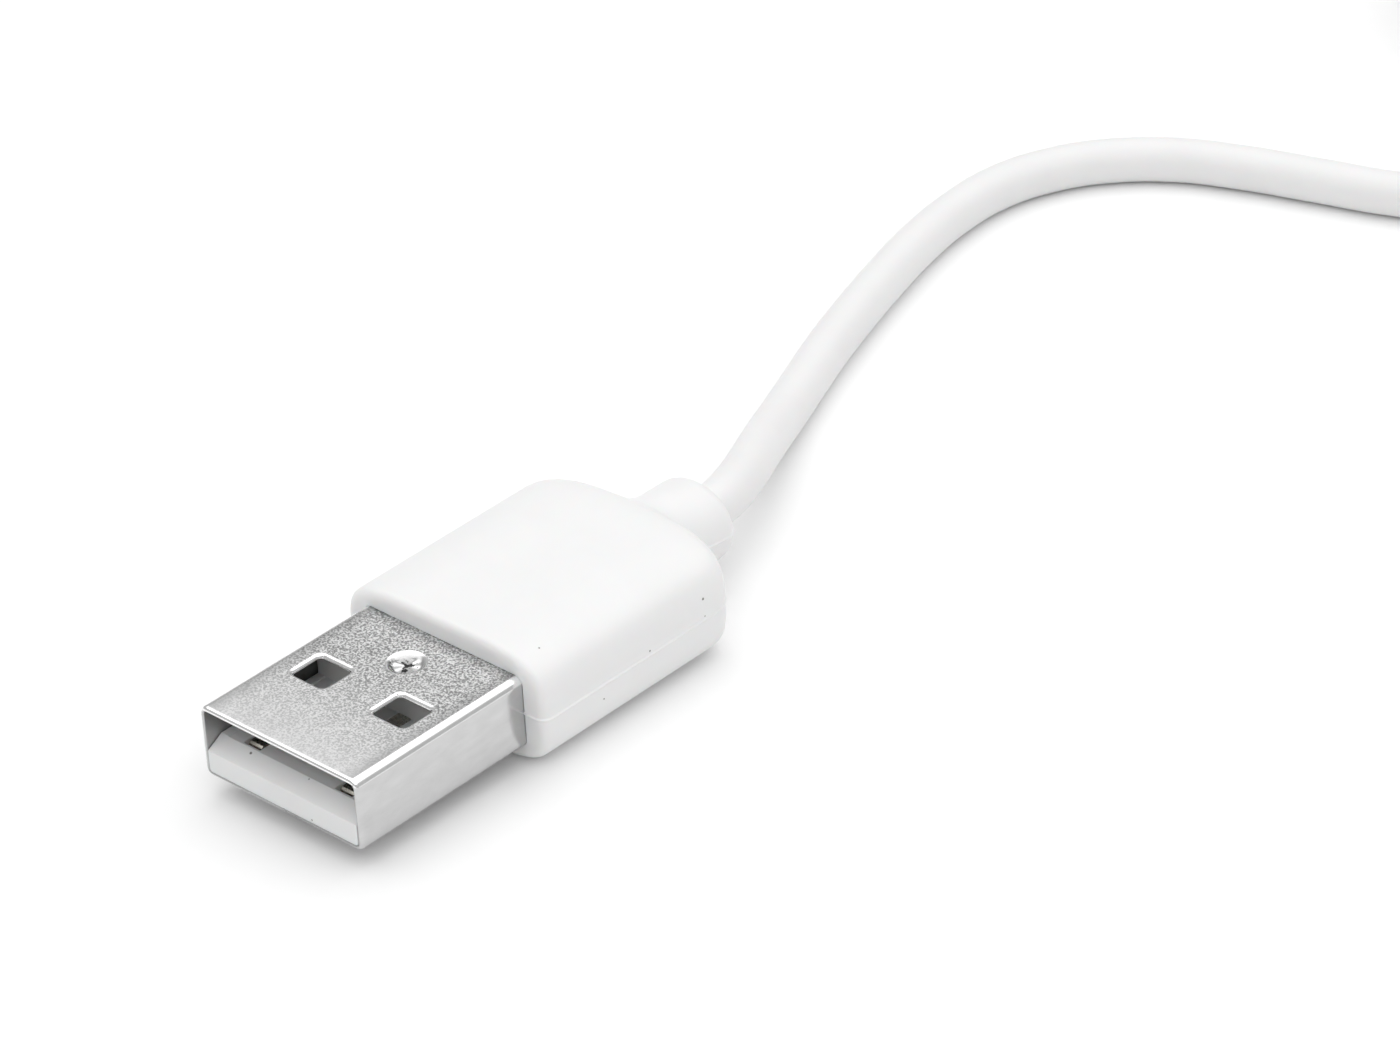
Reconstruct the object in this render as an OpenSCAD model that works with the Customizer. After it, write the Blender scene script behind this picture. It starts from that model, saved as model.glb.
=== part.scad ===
// USB-A plug on a moulded charging cable. A folded metal shell holds a plastic insulator with
// four contacts. Two rear covers with a crimp close over the soldered wires, and a one-piece
// overmould with a collar holds them together. The cable is folded up and ends in a USB-C plug.
// Millimetres. X is the plug's width, the mouth faces -Y, the cable leaves along +Y, +Z is up.
// The origin is under the middle of the plug, on the surface that the overmould rests on.

/* [Shell] */
// Width of the folded shell
shell_w = 12; // [11.4:0.1:13]
// Height of the folded shell
shell_h = 4.5; // [4.3:0.1:5]
// Thickness of the sheet that the shell is folded from
sheet_t = 0.3; // [0.2:0.05:0.4]
// Length of shell in front of the overmould
shell_reach = 12.5; // [11.5:0.25:15]
// Length of shell held inside the overmould
shell_tail = 4.5; // [4:0.25:6]
// Outer radius of the two upper bends
upper_bend_r = 0.55; // [0.45:0.05:0.8]
// Outer radius of the two lower bends
lower_bend_r = 0.5; // [0.45:0.05:1]
// Chamfer round the outside of the mouth
mouth_chamfer = 0.14; // [0.05:0.01:0.18]
// Width of each window
window_w = 2.5; // [1.8:0.1:2.8]
// Length of each window
window_l = 2.25; // [1.5:0.05:2.5]
// Corner radius of each window
window_r = 0.3; // [0.1:0.05:0.6]
// Distance from the mouth to the windows
window_setback = 5.25; // [4.5:0.05:5.5]
// Distance from the middle of the plug to the middle of a window
window_spread = 3.05; // [2.2:0.05:3.6]
// Diameter of the staked dimple at the surface
dimple_d = 2.4; // [1.5:0.1:2.8]
// Depth of the staked dimple
dimple_depth = 0.28; // [0.15:0.01:0.4]
// Distance from the mouth to the middle of the dimple
dimple_setback = 9.8; // [9.6:0.1:10.8]
// Width of the gap left in the folded seam
seam_gap = 0.06; // [0.03:0.01:0.12]
// Width of the dovetail that locks the seam, at its wide end
lock_w = 2.2; // [1.6:0.1:3]
// Width of the dovetail at its narrow end
lock_neck_w = 1.3; // [0.8:0.1:1.5]
// Length of the dovetail along the seam
lock_l = 2; // [1.2:0.1:3]

/* [Insulator and contacts] */
// Thickness of the tongue at the contacts
tongue_h = 1.95; // [1.7:0.05:2.1]
// Height of the tongue's front face
nose_h = 1.35; // [1:0.05:1.6]
// Length of the ramp from the front face up to the top of the tongue
nose_ramp = 1.1; // [0.5:0.05:1.3]
// Depth of the mouth over the tongue
mouth_depth = 8.4; // [8:0.1:8.6]
// Length of the insulator
insulator_l = 15.5; // [14:0.25:16.5]
// Clearance between the insulator's sides and the shell
insulator_gap = 0.03; // [0.01:0.01:0.08]
// Depth of the shallow field between the tongue's raised sides
field_depth = 0.08; // [0.04:0.01:0.15]
// Width of each raised side of the tongue
side_rail_w = 0.6; // [0.3:0.05:0.8]
// Width of a contact
contact_w = 1; // [0.7:0.05:1.2]
// Thickness of a contact
contact_t = 0.3; // [0.2:0.05:0.35]
// Distance from the middle of the plug to a data contact
data_spread = 1; // [0.9:0.05:1.2]
// Distance from the middle of the plug to a power contact
power_spread = 3.5; // [3.3:0.05:3.8]
// Distance from the mouth to the front of a power contact
power_setback = 1.5; // [1.35:0.05:2]
// Distance from the mouth to the front of a data contact
data_setback = 2.5; // [2.2:0.05:3]
// Width of the pocket round the front of a contact
pocket_w = 1.3; // [1.25:0.05:1.6]
// Length of that pocket
pocket_l = 0.9; // [0.7:0.05:1.1]
// Depth of that pocket below the contacts
pocket_drop = 0.6; // [0.4:0.05:0.9]
// Length of a contact's solder tail behind the insulator
solder_tail = 2.5; // [2:0.1:3]

/* [Rear covers] */
// Thickness of the rear covers and the crimp
cover_t = 0.25; // [0.15:0.05:0.35]
// Length of the covers that grips the shell
cover_grip = 3; // [1.5:0.25:4]
// Length of the covers behind the shell
cover_room = 8.2; // [7.8:0.1:8.8]
// Width of the strip that carries the crimp
crimp_strip_w = 2.2; // [1.4:0.1:2.6]
// Distance from the covers to the crimp
crimp_offset = 1; // [0.8:0.1:1.2]
// Length of the crimp
crimp_l = 2.8; // [2:0.1:3]
// Angle left open at the top of the crimp
crimp_open = 50; // [20:5:90]
// Thickness of the folded braid under the crimp
braid_t = 0.12; // [0.08:0.01:0.2]
// Length of braid that shows at each end of the crimp
braid_margin = 0.3; // [0.1:0.05:0.4]

/* [Cable] */
// Diameter of the cable
cable_d = 2.8; // [2.6:0.1:3]
// Wall thickness of the cable's jacket
jacket_t = 0.4; // [0.3:0.02:0.42]
// Diameter of an insulated wire
wire_d = 0.76; // [0.6:0.02:0.78]
// Diameter of a wire's bare core
core_d = 0.4; // [0.25:0.05:0.5]
// Distance of each wire from the cable's middle, both ways
wire_spread = 0.42; // [0.4:0.01:0.44]
// Length of jacket that reaches into the rear covers
jacket_reach = 1; // [0.5:0.1:1.4]
// Diameter of a solder joint
solder_d = 0.84; // [0.6:0.02:0.9]

/* [Overmould] */
// Width of the overmould
body_w = 15; // [14.6:0.1:17]
// Height of the overmould over its rounded top and bottom
body_h = 7.1; // [6.6:0.1:8.5]
// Length of the overmould up to its shoulders
body_l = 13.8; // [13.2:0.1:16]
// Squareness of the overmould's section, where 2 is an ellipse
squareness = 4; // [3.6:0.1:5]
// Radius of the front edge
front_edge_r = 0.55; // [0.2:0.05:0.8]
// Depth of the flat land on the top and the underside
land_cut = 0.035; // [0.02:0.005:0.06]
// Radius of the rounded shoulders
shoulder_r = 1.8; // [1.2:0.1:2.4]
// Radius of the hollow between the shoulders and the neck
waist_r = 1.6; // [1:0.1:2]
// Angle of the slope between the two
shoulder_angle = 75; // [60:1:80]
// Width of the neck
neck_w = 5.4; // [5:0.1:6]
// Height of the neck
neck_h = 5.4; // [4.8:0.1:5.8]
// Length of the neck up to the widest part of the collar
neck_l = 2.2; // [2:0.1:5]
// Width of the collar
collar_w = 5.8; // [5.4:0.1:7]
// Height of the collar
collar_h = 5; // [4.8:0.1:6]
// Radius of the collar's rim
rim_r = 0.9; // [0.4:0.05:1.1]

/* [Far plug] */
// Width of the far plug's shell
far_shell_w = 8.25; // [8:0.05:8.6]
// Height of the far plug's shell
far_shell_h = 2.4; // [2.3:0.05:2.7]
// Wall of the far plug's shell
far_shell_t = 0.2; // [0.15:0.05:0.25]
// Length of the far plug's shell in front of its overmould
far_reach = 6.65; // [6:0.05:7.5]
// Length of the far plug's shell inside its overmould
far_tail = 3; // [2:0.25:4]
// Width of the slot in the far plug's insulator
far_slot_w = 6.7; // [6.4:0.05:6.9]
// Height of that slot
far_slot_h = 1; // [0.9:0.05:1.1]
// Depth of that slot
far_slot_l = 5; // [4:0.25:5.5]
// Number of contacts in each row of the far plug
far_contacts = 12; // [4:1:12]
// Spacing of those contacts
far_pitch = 0.5; // [0.5:0.01:0.54]
// Width of each of those contacts
far_contact_w = 0.25; // [0.15:0.05:0.3]
// Thickness of each of those contacts
far_contact_t = 0.1; // [0.05:0.01:0.15]
// Length of the far plug's circuit board
far_board_l = 7; // [5:0.5:8]
// Width of the far plug's circuit board
far_board_w = 7; // [5:0.5:8]
// Thickness of the far plug's circuit board
far_board_t = 0.8; // [0.6:0.1:1]
// Width of the far plug's overmould
far_body_w = 11; // [10.6:0.1:13]
// Height of the far plug's overmould
far_body_h = 5.6; // [5.2:0.1:7]
// Length of the far plug's overmould up to its shoulders
far_body_l = 12.5; // [12:0.5:16]

/* [Hank] */
// Radius of the outermost turn at the hank's ends
hank_r = 11.2; // [11.2:0.1:12.2]
// Length of the hank's straight runs
hank_run = 22.4; // [22.4:0.4:28]
// Number of turns on top of each other
hank_high = 3; // [2:1:3]
// Width of the tie round the hank
tie_w = 4; // [2:0.5:6]
// Thickness of the tie
tie_t = 0.4; // [0.2:0.1:0.5]
// Distance from the start of the straight runs to the tie
tie_setback = 3; // [2:0.5:4]
// Length of the tie's overlapping end
tie_lap = 7; // [4:0.5:9]

/* [Hidden] */

steel = "silver";
plated = [0.72, 0.72, 0.74];
gold = "goldenrod";
soft_white = [0.95, 0.95, 0.94];
$fn = 32;
smooth = 64;
overlap = 0.5;

shell_l = shell_reach + shell_tail;
inner_h = shell_h - 2 * sheet_t;
tongue_z = -inner_h / 2 + tongue_h;
nose_z = -inner_h / 2 + nose_h;
contact_x = [power_spread, data_spread, -data_spread, -power_spread];
contact_front = [power_setback, data_setback, data_setback, power_setback];
contact_end = insulator_l + solder_tail;
contact_bevel = 0.15;

cover_y = shell_l - cover_grip;
cover_end = shell_l + cover_room;
crimp_y = cover_end + crimp_offset;
crimp_r = cable_d / 2 + braid_t + cover_t;
jacket_y = cover_end - jacket_reach;
jacket_bore_r = cable_d / 2 - jacket_t;
soldered_l = 1.4;
bead_margin = 0.15;
bare_l = 0.3;
wire_straight_l = 0.6;
wire_gather_l = 0.2;

// A form is [front y, length to the shoulders, half width, half height].
body_form = [shell_reach, body_l, body_w / 2, body_h / 2];
far_form = [far_reach, far_body_l, far_body_w / 2, far_body_h / 2];
stand_z = body_h / 2 - land_cut;
far_stand_z = far_body_h / 2 - land_cut;
overall_l = collar_end(body_form);
far_overall_l = collar_end(far_form);
around = 64;
step = 15;

// Where the cable leaves the collar, and its route over the surface up to the hank.
exit_y = overall_l / 2;
lead_route = [[0, exit_y, stand_z], [0, 17.4, stand_z], [-0.3, 19, 3.45], [-0.95, 20.8, 3.3],
    [-1.9, 22.7, 3], [-3.1, 24.9, 2.6], [-4.35, 27.2, 2.1], [-5.6, 29.6, 1.6], [-7.1, 33, 1.4],
    [-8.7, 37, 1.4], [-10.1, 41, 1.4], [-11.5, 45.5, 1.4], [-12.7, 50, 1.4], [-13.4, 54.5, 1.4],
    [-13.3, 58.6, 1.4], [-12.2, 62, 1.4], [-10.2, 65, 1.4], [-6.8, 67.8, 1.4], [-3, 69.5, 1.4],
    [2, 71.1, 1.4], [7, 72.7, 1.4], [9.8, 74.2, 1.4], [11.9, 77, 1.4], [12.6, 80.4, 1.4],
    [12.6, 85, 1.5], [12.6, 90, 1.7], [12.6, 96.8, 1.8]];
// The middle of the hank's front ends, and the route over the hank's top down to the far plug.
hank_front = [1.4, 103];
hank_edge_r = hank_r + cable_d / 2;
hank_h = hank_high * cable_d;
hank_top = tie_t + hank_h;
far_place = [7, 138, hank_top + far_stand_z];
far_exit = far_place - [0, far_overall_l, 0];
tail_over = [[-4.2, 124, -0.1], [-4.2, 120.5, 0.8], [-4.2, 116.5, 1.4], [-4.2, 111.5, 1.8],
    [-4.2, 105, 1.8], [-4, 102.3, 1.5], [-3.2, 100.1, 1.4], [-1.4, 98.2, 1.4], [1.4, 97.4, 1.4],
    [4.2, 98.2, 1.45], [6.1, 100.2, 1.6], [7, 103.4, 2], [7, 107.5, 2.5], [7, 110.5, far_stand_z]];
tail_route = concat([for (p = tail_over) p + [0, 0, hank_top]], [far_exit]);

// --- shapes shared by several pieces ---

// Moves a piece from the plug's own axis, with the mouth at y 0, to where the plug lies.
module plug_frame() {
    translate([0, -overall_l / 2, stand_z]) children();
}

// The same for the far plug, which lies on the hank with its mouth facing +Y.
module far_frame() {
    translate(far_place) rotate([0, 0, 180]) children();
}

// Extrudes an outline drawn in X and Z along +Y, from y to y + l.
module along_y(y, l) {
    translate([0, y + l, 0]) rotate([90, 0, 0]) linear_extrude(height = l) children();
}

// A rectangle with one radius for its upper corners and one for its lower corners.
module bent_outline(w, h, upper_r, lower_r) {
    for (x = [-1, 1]) {
        translate([x * (w / 2 - upper_r), h / 2 - upper_r]) circle(r = upper_r);
        translate([x * (w / 2 - lower_r), lower_r - h / 2]) circle(r = lower_r);
    }
    translate([upper_r - w / 2, 0]) square([w - 2 * upper_r, h / 2]);
    translate([lower_r - w / 2, -h / 2]) square([w - 2 * lower_r, h / 2]);
    translate([-w / 2, 0]) square([w, h / 2 - upper_r]);
    translate([-w / 2, lower_r - h / 2]) square([w, h / 2 - lower_r]);
}

// The shell's outline, grown by g on every side.
module shell_outline(g = 0) {
    bent_outline(shell_w + 2 * g, shell_h + 2 * g, upper_bend_r + g, lower_bend_r + g);
}

// A flat oval with round ends.
module oval(w, h) {
    square([w - h, h], center = true);
    for (x = [-1, 1])
        translate([x * (w - h) / 2, 0]) circle(d = h);
}

// --- shell ---

module shell_body() {
    difference() {
        along_y(0, shell_l) shell_outline();
        along_y(-overlap, shell_l + 2 * overlap) shell_outline(-sheet_t);
    }
}

// The chamfered front of a solid bar with the shell's outline.
module chamfered_front() {
    c = mouth_chamfer;
    for (x = [-1, 1]) {
        corner_cone([x * (shell_w / 2 - upper_bend_r), 0, shell_h / 2 - upper_bend_r], upper_bend_r);
        corner_cone([x * (shell_w / 2 - lower_bend_r), 0, lower_bend_r - shell_h / 2], lower_bend_r);
    }
    // between the left and right bends
    half = shell_h / 2;
    for (s = [[upper_bend_r, 1], [lower_bend_r, -1]])
        rotate([90, 0, 90])
            linear_extrude(height = shell_w - 2 * s[0], center = true)
                polygon([[0, 0], [0, s[1] * (half - c)], [c, s[1] * half], [c, 0]]);
    // between the upper and lower bends
    side = shell_w / 2;
    translate([0, 0, lower_bend_r - half])
        linear_extrude(height = shell_h - upper_bend_r - lower_bend_r)
            polygon([[c - side, 0], [side - c, 0], [side, c], [-side, c]]);
}

module corner_cone(at, r) {
    translate(at) rotate([-90, 0, 0])
        cylinder(h = mouth_chamfer, r1 = r - mouth_chamfer, r2 = r);
}

module windows() {
    for (x = [-1, 1])
        translate([x * window_spread, window_setback + window_l / 2, -shell_h])
            linear_extrude(height = 2 * shell_h)
                bent_outline(window_w, window_l, window_r, window_r);
}

// The open seam along the underside, with a dovetail lock half way along it.
module seam() {
    lock_y = shell_reach / 2 - lock_l / 2;
    g = seam_gap;
    translate([0, 0, -shell_h]) linear_extrude(height = shell_h - sheet_t) {
        translate([-g / 2, -overlap]) square([g, lock_y + overlap + g]);
        translate([-g / 2, lock_y + lock_l - g]) square([g, shell_l - lock_y - lock_l + g + overlap]);
        difference() {
            dovetail(lock_y, 0);
            dovetail(lock_y, g);
            translate([-lock_w, lock_y + g]) square([lock_w, lock_l - 2 * g]);
        }
    }
}

// The dovetail's outline, drawn inwards by g.
module dovetail(y, g) {
    polygon([[0, y + g], [lock_neck_w / 2 - g, y + g], [lock_w / 2 - g, y + lock_l - g],
        [0, y + lock_l - g]]);
}

// The ball that presses the dimple, grown by g.
module dimple_ball(g = 0) {
    r = (dimple_d * dimple_d / 4 + dimple_depth * dimple_depth) / (2 * dimple_depth);
    translate([0, dimple_setback, shell_h / 2 + r - dimple_depth]) sphere(r = r + g, $fn = smooth);
}

// The sheet that the dimple pushes down on the inside.
module dimple_boss() {
    intersection() {
        dimple_ball(sheet_t);
        translate([0, dimple_setback, 0])
            cylinder(d = dimple_d + 2 * sheet_t, h = shell_h / 2 - sheet_t / 2, $fn = smooth);
    }
}

module shell() color(steel) plug_frame() {
    difference() {
        union() {
            intersection() {
                shell_body();
                union() {
                    chamfered_front();
                    along_y(mouth_chamfer, shell_l) shell_outline();
                }
            }
            dimple_boss();
        }
        dimple_ball();
        windows();
        seam();
    }
}

// --- insulator and contacts ---

// The insulator's outline seen from the side: front face, ramp, tongue and rear block.
module insulator_side() {
    low = -inner_h / 2;
    polygon([[0, low], [0, nose_z], [nose_ramp, tongue_z], [mouth_depth, tongue_z],
        [mouth_depth, inner_h / 2], [insulator_l, inner_h / 2], [insulator_l, low]]);
}

module insulator() color(soft_white) plug_frame() {
    field_w = shell_w - 2 * sheet_t - 2 * side_rail_w;
    difference() {
        intersection() {
            rotate([90, 0, 90]) linear_extrude(height = shell_w, center = true) insulator_side();
            along_y(-overlap, insulator_l + 2 * overlap)
                bent_outline(shell_w - 2 * (sheet_t + insulator_gap), inner_h, upper_bend_r - sheet_t,
                    lower_bend_r - sheet_t);
        }
        translate([-field_w / 2, nose_ramp, tongue_z - field_depth])
            cube([field_w, mouth_depth - nose_ramp, field_depth + overlap]);
        for (i = [0:3]) {
            translate([contact_x[i] - pocket_w / 2, contact_front[i] - pocket_l / 4,
                tongue_z - field_depth - contact_t - pocket_drop])
                cube([pocket_w, pocket_l, contact_t + pocket_drop + overlap]);
            contact_groove(contact_x[i], contact_front[i]);
        }
        dimple_ball(sheet_t);
    }
}

// The groove that holds a contact, open at the top over the tongue and closed in the rear block.
module contact_groove(x, front) {
    translate([x - contact_w / 2, front, contact_top() - contact_t])
        cube([contact_w, insulator_l, contact_t]);
    translate([x - contact_w / 2, front, contact_top() - contact_t])
        cube([contact_w, mouth_depth - front, contact_t + overlap]);
}

function contact_top() = tongue_z - field_depth;

// A flat strip whose front is bent down into its pocket.
module contact(x, front) {
    top = contact_top();
    low = top - contact_t;
    tip = low - pocket_drop + contact_t / 2;
    translate([x, 0, 0]) rotate([90, 0, 90]) linear_extrude(height = contact_w, center = true)
        polygon([[front, tip], [front + contact_t, tip], [front + contact_t + contact_bevel, low],
            [contact_end, low], [contact_end, top], [front + contact_bevel, top],
            [front, top - contact_bevel]]);
}

module contact_power() color(gold) plug_frame() contact(contact_x[0], contact_front[0]);
module contact_data_minus() color(gold) plug_frame() contact(contact_x[1], contact_front[1]);
module contact_data_plus() color(gold) plug_frame() contact(contact_x[2], contact_front[2]);
module contact_ground() color(gold) plug_frame() contact(contact_x[3], contact_front[3]);

// --- wires ---

wire_sides = 8;
core_start = contact_end - soldered_l;
wire_start = contact_end + bare_l;
core_rise = core_d / 2 * cos(180 / wire_sides);
core_edge = core_d * sin(180 / wire_sides);
core_z = contact_top() + core_rise;
bend_start = wire_start + wire_straight_l;
bend_end = jacket_y - wire_gather_l;
bundle = wire_spread * [[1, 1], [1, -1], [-1, -1], [-1, 1]];

// The path of wire i from its solder tail into the jacket and on to the collar, starting at y.
function wire_path(i, y) = [
    [contact_x[i], y, core_z],
    for (k = [0:6]) let (e = (1 - cos(30 * k)) / 2)
        [contact_x[i] + (bundle[i][0] - contact_x[i]) * e, bend_start + (bend_end - bend_start) * k / 6,
            core_z + (bundle[i][1] - core_z) * e],
    [bundle[i][0], overall_l, bundle[i][1]]];

function unit(v) = v / norm(v);
function step_from(path, i) = unit(path[i + 1] - path[i]);
function heading(path, i) =
    i == 0 ? step_from(path, 0) :
    i == len(path) - 1 ? step_from(path, i - 1) :
    unit(step_from(path, i - 1) + step_from(path, i));
function ring(p, t, r, sides) =
    let (side = unit(cross(t, [0, 0, 1])), up = cross(side, t))
    [for (k = [0.5:sides]) p + r * (cos(360 * k / sides) * side + sin(360 * k / sides) * up)];
function rings(path, r, sides) =
    [for (i = [0:len(path) - 1]) each ring(path[i], heading(path, i), r, sides)];
// Triangles between the ring that starts at a and the next, with the outside facing out.
function skin(a, sides) = [
    for (k = [0:sides - 1]) let (n = (k + 1) % sides)
        each [[a + k, a + n, a + sides + n], [a + k, a + sides + n, a + sides + k]]];

// A solid round bar along a path.
module bar(path, r, sides) {
    last = (len(path) - 1) * sides;
    polyhedron(points = rings(path, r, sides), faces = [
        for (i = [0:len(path) - 2]) each skin(i * sides, sides),
        [for (k = [sides - 1:-1:0]) k],
        [for (k = [0:sides - 1]) last + k]], convexity = 8);
}

// A round pipe along a path.
module pipe(path, outer_r, inner_r, sides) {
    count = len(path) * sides;
    last = (len(path) - 1) * sides;
    polyhedron(points = concat(rings(path, outer_r, sides), rings(path, inner_r, sides)), faces = [
        for (i = [0:len(path) - 2]) each skin(i * sides, sides),
        for (i = [0:len(path) - 2]) for (f = skin(count + i * sides, sides)) [f[2], f[1], f[0]],
        for (k = [0:sides - 1]) let (n = (k + 1) % sides) [n, k, count + k, count + n],
        for (k = [0:sides - 1]) let (n = (k + 1) % sides)
            [last + k, last + n, count + last + n, count + last + k]], convexity = 8);
}

module core(i) {
    bar(wire_path(i, core_start), core_d / 2, wire_sides);
}

module wire(i) {
    pipe(wire_path(i, wire_start), wire_d / 2, core_d / 2, wire_sides);
}

module core_red() color("peru") plug_frame() core(0);
module core_white() color("peru") plug_frame() core(1);
module core_green() color("peru") plug_frame() core(2);
module core_black() color("peru") plug_frame() core(3);
module wire_red() color("firebrick") plug_frame() wire(0);
module wire_white() color("white") plug_frame() wire(1);
module wire_green() color("seagreen") plug_frame() wire(2);
module wire_black() color("dimgray") plug_frame() wire(3);

// A half round bead of solder over each core, on its tail.
module solder_joints() color(plated) plug_frame() {
    bead_l = soldered_l - 2 * bead_margin;
    for (i = [0:3])
        translate([contact_x[i], 0, contact_top()]) difference() {
            along_y(core_start + bead_margin, bead_l) circle(d = solder_d);
            along_y(core_start, soldered_l)
                translate([-solder_d, -solder_d]) square([2 * solder_d, solder_d]);
            along_y(core_start, soldered_l) {
                translate([0, core_rise]) rotate(180 / wire_sides) circle(d = core_d, $fn = wire_sides);
                translate([-core_edge / 2, -solder_d]) square([core_edge, solder_d + core_rise]);
            }
        }
}

// --- rear covers, braid and jacket ---

// Both rear covers as one closed box round the shell's tail and the wires.
module cover_box() {
    difference() {
        along_y(cover_y, cover_end - cover_y) shell_outline(cover_t);
        along_y(cover_y - overlap, cover_end - cover_y - cover_t + overlap) shell_outline();
        along_y(cover_y, cover_end) circle(d = cable_d, $fn = smooth);
    }
}

// Half of the space, above or below the middle plane.
module half_space(side) {
    size = 2 * overall_l;
    translate([-size / 2, -overlap, side > 0 ? 0 : -size]) cube([size, size, size]);
}

// The strip and the barrel that grip the braid, before the covers' material is cut from them.
module crimp_strip() {
    low = -shell_h / 2 - cover_t;
    rise = -crimp_r;
    rotate([90, 0, 90]) linear_extrude(height = crimp_strip_w, center = true)
        polygon([[cover_end - cover_t, low], [cover_end, low], [crimp_y, rise], [crimp_y + cover_t, rise],
            [crimp_y + cover_t, rise + cover_t], [crimp_y, rise + cover_t],
            [cover_end, low + cover_t], [cover_end - cover_t, low + cover_t]]);
}

module crimp_barrel() {
    reach = 2 * crimp_r;
    difference() {
        along_y(crimp_y, crimp_l) circle(r = crimp_r, $fn = smooth);
        along_y(crimp_y - overlap, crimp_l + 2 * overlap) circle(r = cable_d / 2 + braid_t, $fn = smooth);
        along_y(crimp_y - overlap, crimp_l + 2 * overlap)
            polygon([[0, 0], [reach * sin(crimp_open / 2), reach * cos(crimp_open / 2)],
                [-reach * sin(crimp_open / 2), reach * cos(crimp_open / 2)]]);
    }
}

module rear_cover_lower() color(plated) plug_frame() {
    intersection() {
        cover_box();
        half_space(-1);
    }
    difference() {
        crimp_strip();
        along_y(crimp_y - overlap, crimp_l) circle(r = cable_d / 2 + braid_t, $fn = smooth);
    }
    crimp_barrel();
}

module rear_cover_upper() color(plated) plug_frame() {
    intersection() {
        cover_box();
        half_space(1);
    }
}

module folded_braid() color("gray") plug_frame() {
    y = crimp_y - braid_margin;
    l = crimp_l + 2 * braid_margin;
    difference() {
        along_y(y, l) circle(r = cable_d / 2 + braid_t, $fn = smooth);
        along_y(y - overlap, l + 2 * overlap) circle(d = cable_d, $fn = smooth);
    }
}

module jacket_end() color(soft_white) plug_frame() {
    l = overall_l - jacket_y;
    difference() {
        along_y(jacket_y, l) circle(d = cable_d, $fn = smooth);
        along_y(jacket_y - overlap, l + 2 * overlap) circle(r = jacket_bore_r, $fn = smooth);
    }
}

// --- overmoulds ---

// One section of an overmould: [y, half width, half height, squareness].
function front_sections(form) = [for (a = [0:step:90])
    [form[0] + front_edge_r * (1 - cos(a)), form[2] - front_edge_r * (1 - sin(a)),
        form[3] - front_edge_r * (1 - sin(a)), squareness]];

// The shoulder goes down by `drop` in width: a round shoulder, a slope and a hollow waist.
function drop(form) = form[2] - neck_w / 2;
function slope_drop(form) = drop(form) - (shoulder_r + waist_r) * (1 - cos(shoulder_angle));
function waist_y(form) = form[0] + form[1] + (shoulder_r + waist_r) * sin(shoulder_angle)
    + slope_drop(form) / tan(shoulder_angle);
function shoulder_section(form, y, fall) = let (part = fall / drop(form))
    [y, form[2] - fall, form[3] + (neck_h / 2 - form[3]) * part, squareness + (2 - squareness) * part];
function shoulder_sections(form) = [
    for (a = [0:step:shoulder_angle])
        shoulder_section(form, form[0] + form[1] + shoulder_r * sin(a), shoulder_r * (1 - cos(a))),
    for (a = [shoulder_angle:-step:0])
        shoulder_section(form, waist_y(form) - waist_r * sin(a), drop(form) - waist_r * (1 - cos(a)))];

function collar_end(form) = waist_y(form) + neck_l + rim_r;
function collar_sections(form) = [
    for (t = [0.25:0.25:1]) let (e = (1 - cos(180 * t)) / 2)
        [waist_y(form) + neck_l * t, (neck_w + (collar_w - neck_w) * e) / 2,
            (neck_h + (collar_h - neck_h) * e) / 2, 2],
    for (a = [step:step:90])
        [waist_y(form) + neck_l + rim_r * sin(a), collar_w / 2 - rim_r * (1 - cos(a)),
            collar_h / 2 - rim_r * (1 - cos(a)), 2]];

// A point of a section at angle a, cut off level at the flat lands.
function rounded(v, n) = sign(v) * pow(abs(v), 2 / n);
function section_point(s, a, stand) =
    [s[1] * rounded(cos(a), s[3]), s[0], max(-stand, min(stand, s[2] * rounded(sin(a), s[3])))];

module moulded_body(form) {
    sections = concat(front_sections(form), shoulder_sections(form), collar_sections(form));
    last = (len(sections) - 1) * around;
    polyhedron(points = [for (s = sections) for (k = [0:around - 1])
            section_point(s, 360 * k / around, form[3] - land_cut)],
        faces = [for (i = [0:len(sections) - 2]) each skin(i * around, around),
            [for (k = [around - 1:-1:0]) k],
            [for (k = [0:around - 1]) last + k]], convexity = 8);
}

module overmould() color(soft_white) plug_frame() {
    difference() {
        moulded_body(body_form);
        along_y(shell_reach - overlap, shell_tail) shell_outline();
        along_y(cover_y, cover_end - cover_y) shell_outline(cover_t);
        crimp_strip();
        along_y(crimp_y, crimp_l) circle(r = crimp_r, $fn = smooth);
        along_y(crimp_y - braid_margin, crimp_l + 2 * braid_margin)
            circle(r = cable_d / 2 + braid_t, $fn = smooth);
        along_y(cover_end - overlap, overall_l) circle(d = cable_d, $fn = smooth);
    }
}

// --- free cable ---

cable_sides = 8;

module cable_lead() color(soft_white) bar(lead_route, cable_d / 2, cable_sides);

// The section of the hank's turns, both sides together, grown by g.
module hank_section(g = 0) {
    r = cable_d / 2 + g;
    bent_outline(2 * (hank_edge_r + g), hank_h + 2 * g, r, r);
}

module hank_frame() {
    translate([hank_front[0], hank_front[1], tie_t + hank_h / 2]) children();
}

// The outer shape of all the turns: straight runs with round ends.
module cable_hank() color(soft_white) hank_frame() {
    along_y(0, hank_run) hank_section();
    for (y = [0, hank_run])
        translate([0, y, 0]) rotate_extrude($fn = smooth)
            intersection() {
                hank_section();
                translate([0, -hank_h]) square(2 * hank_h);
            }
}

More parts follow.
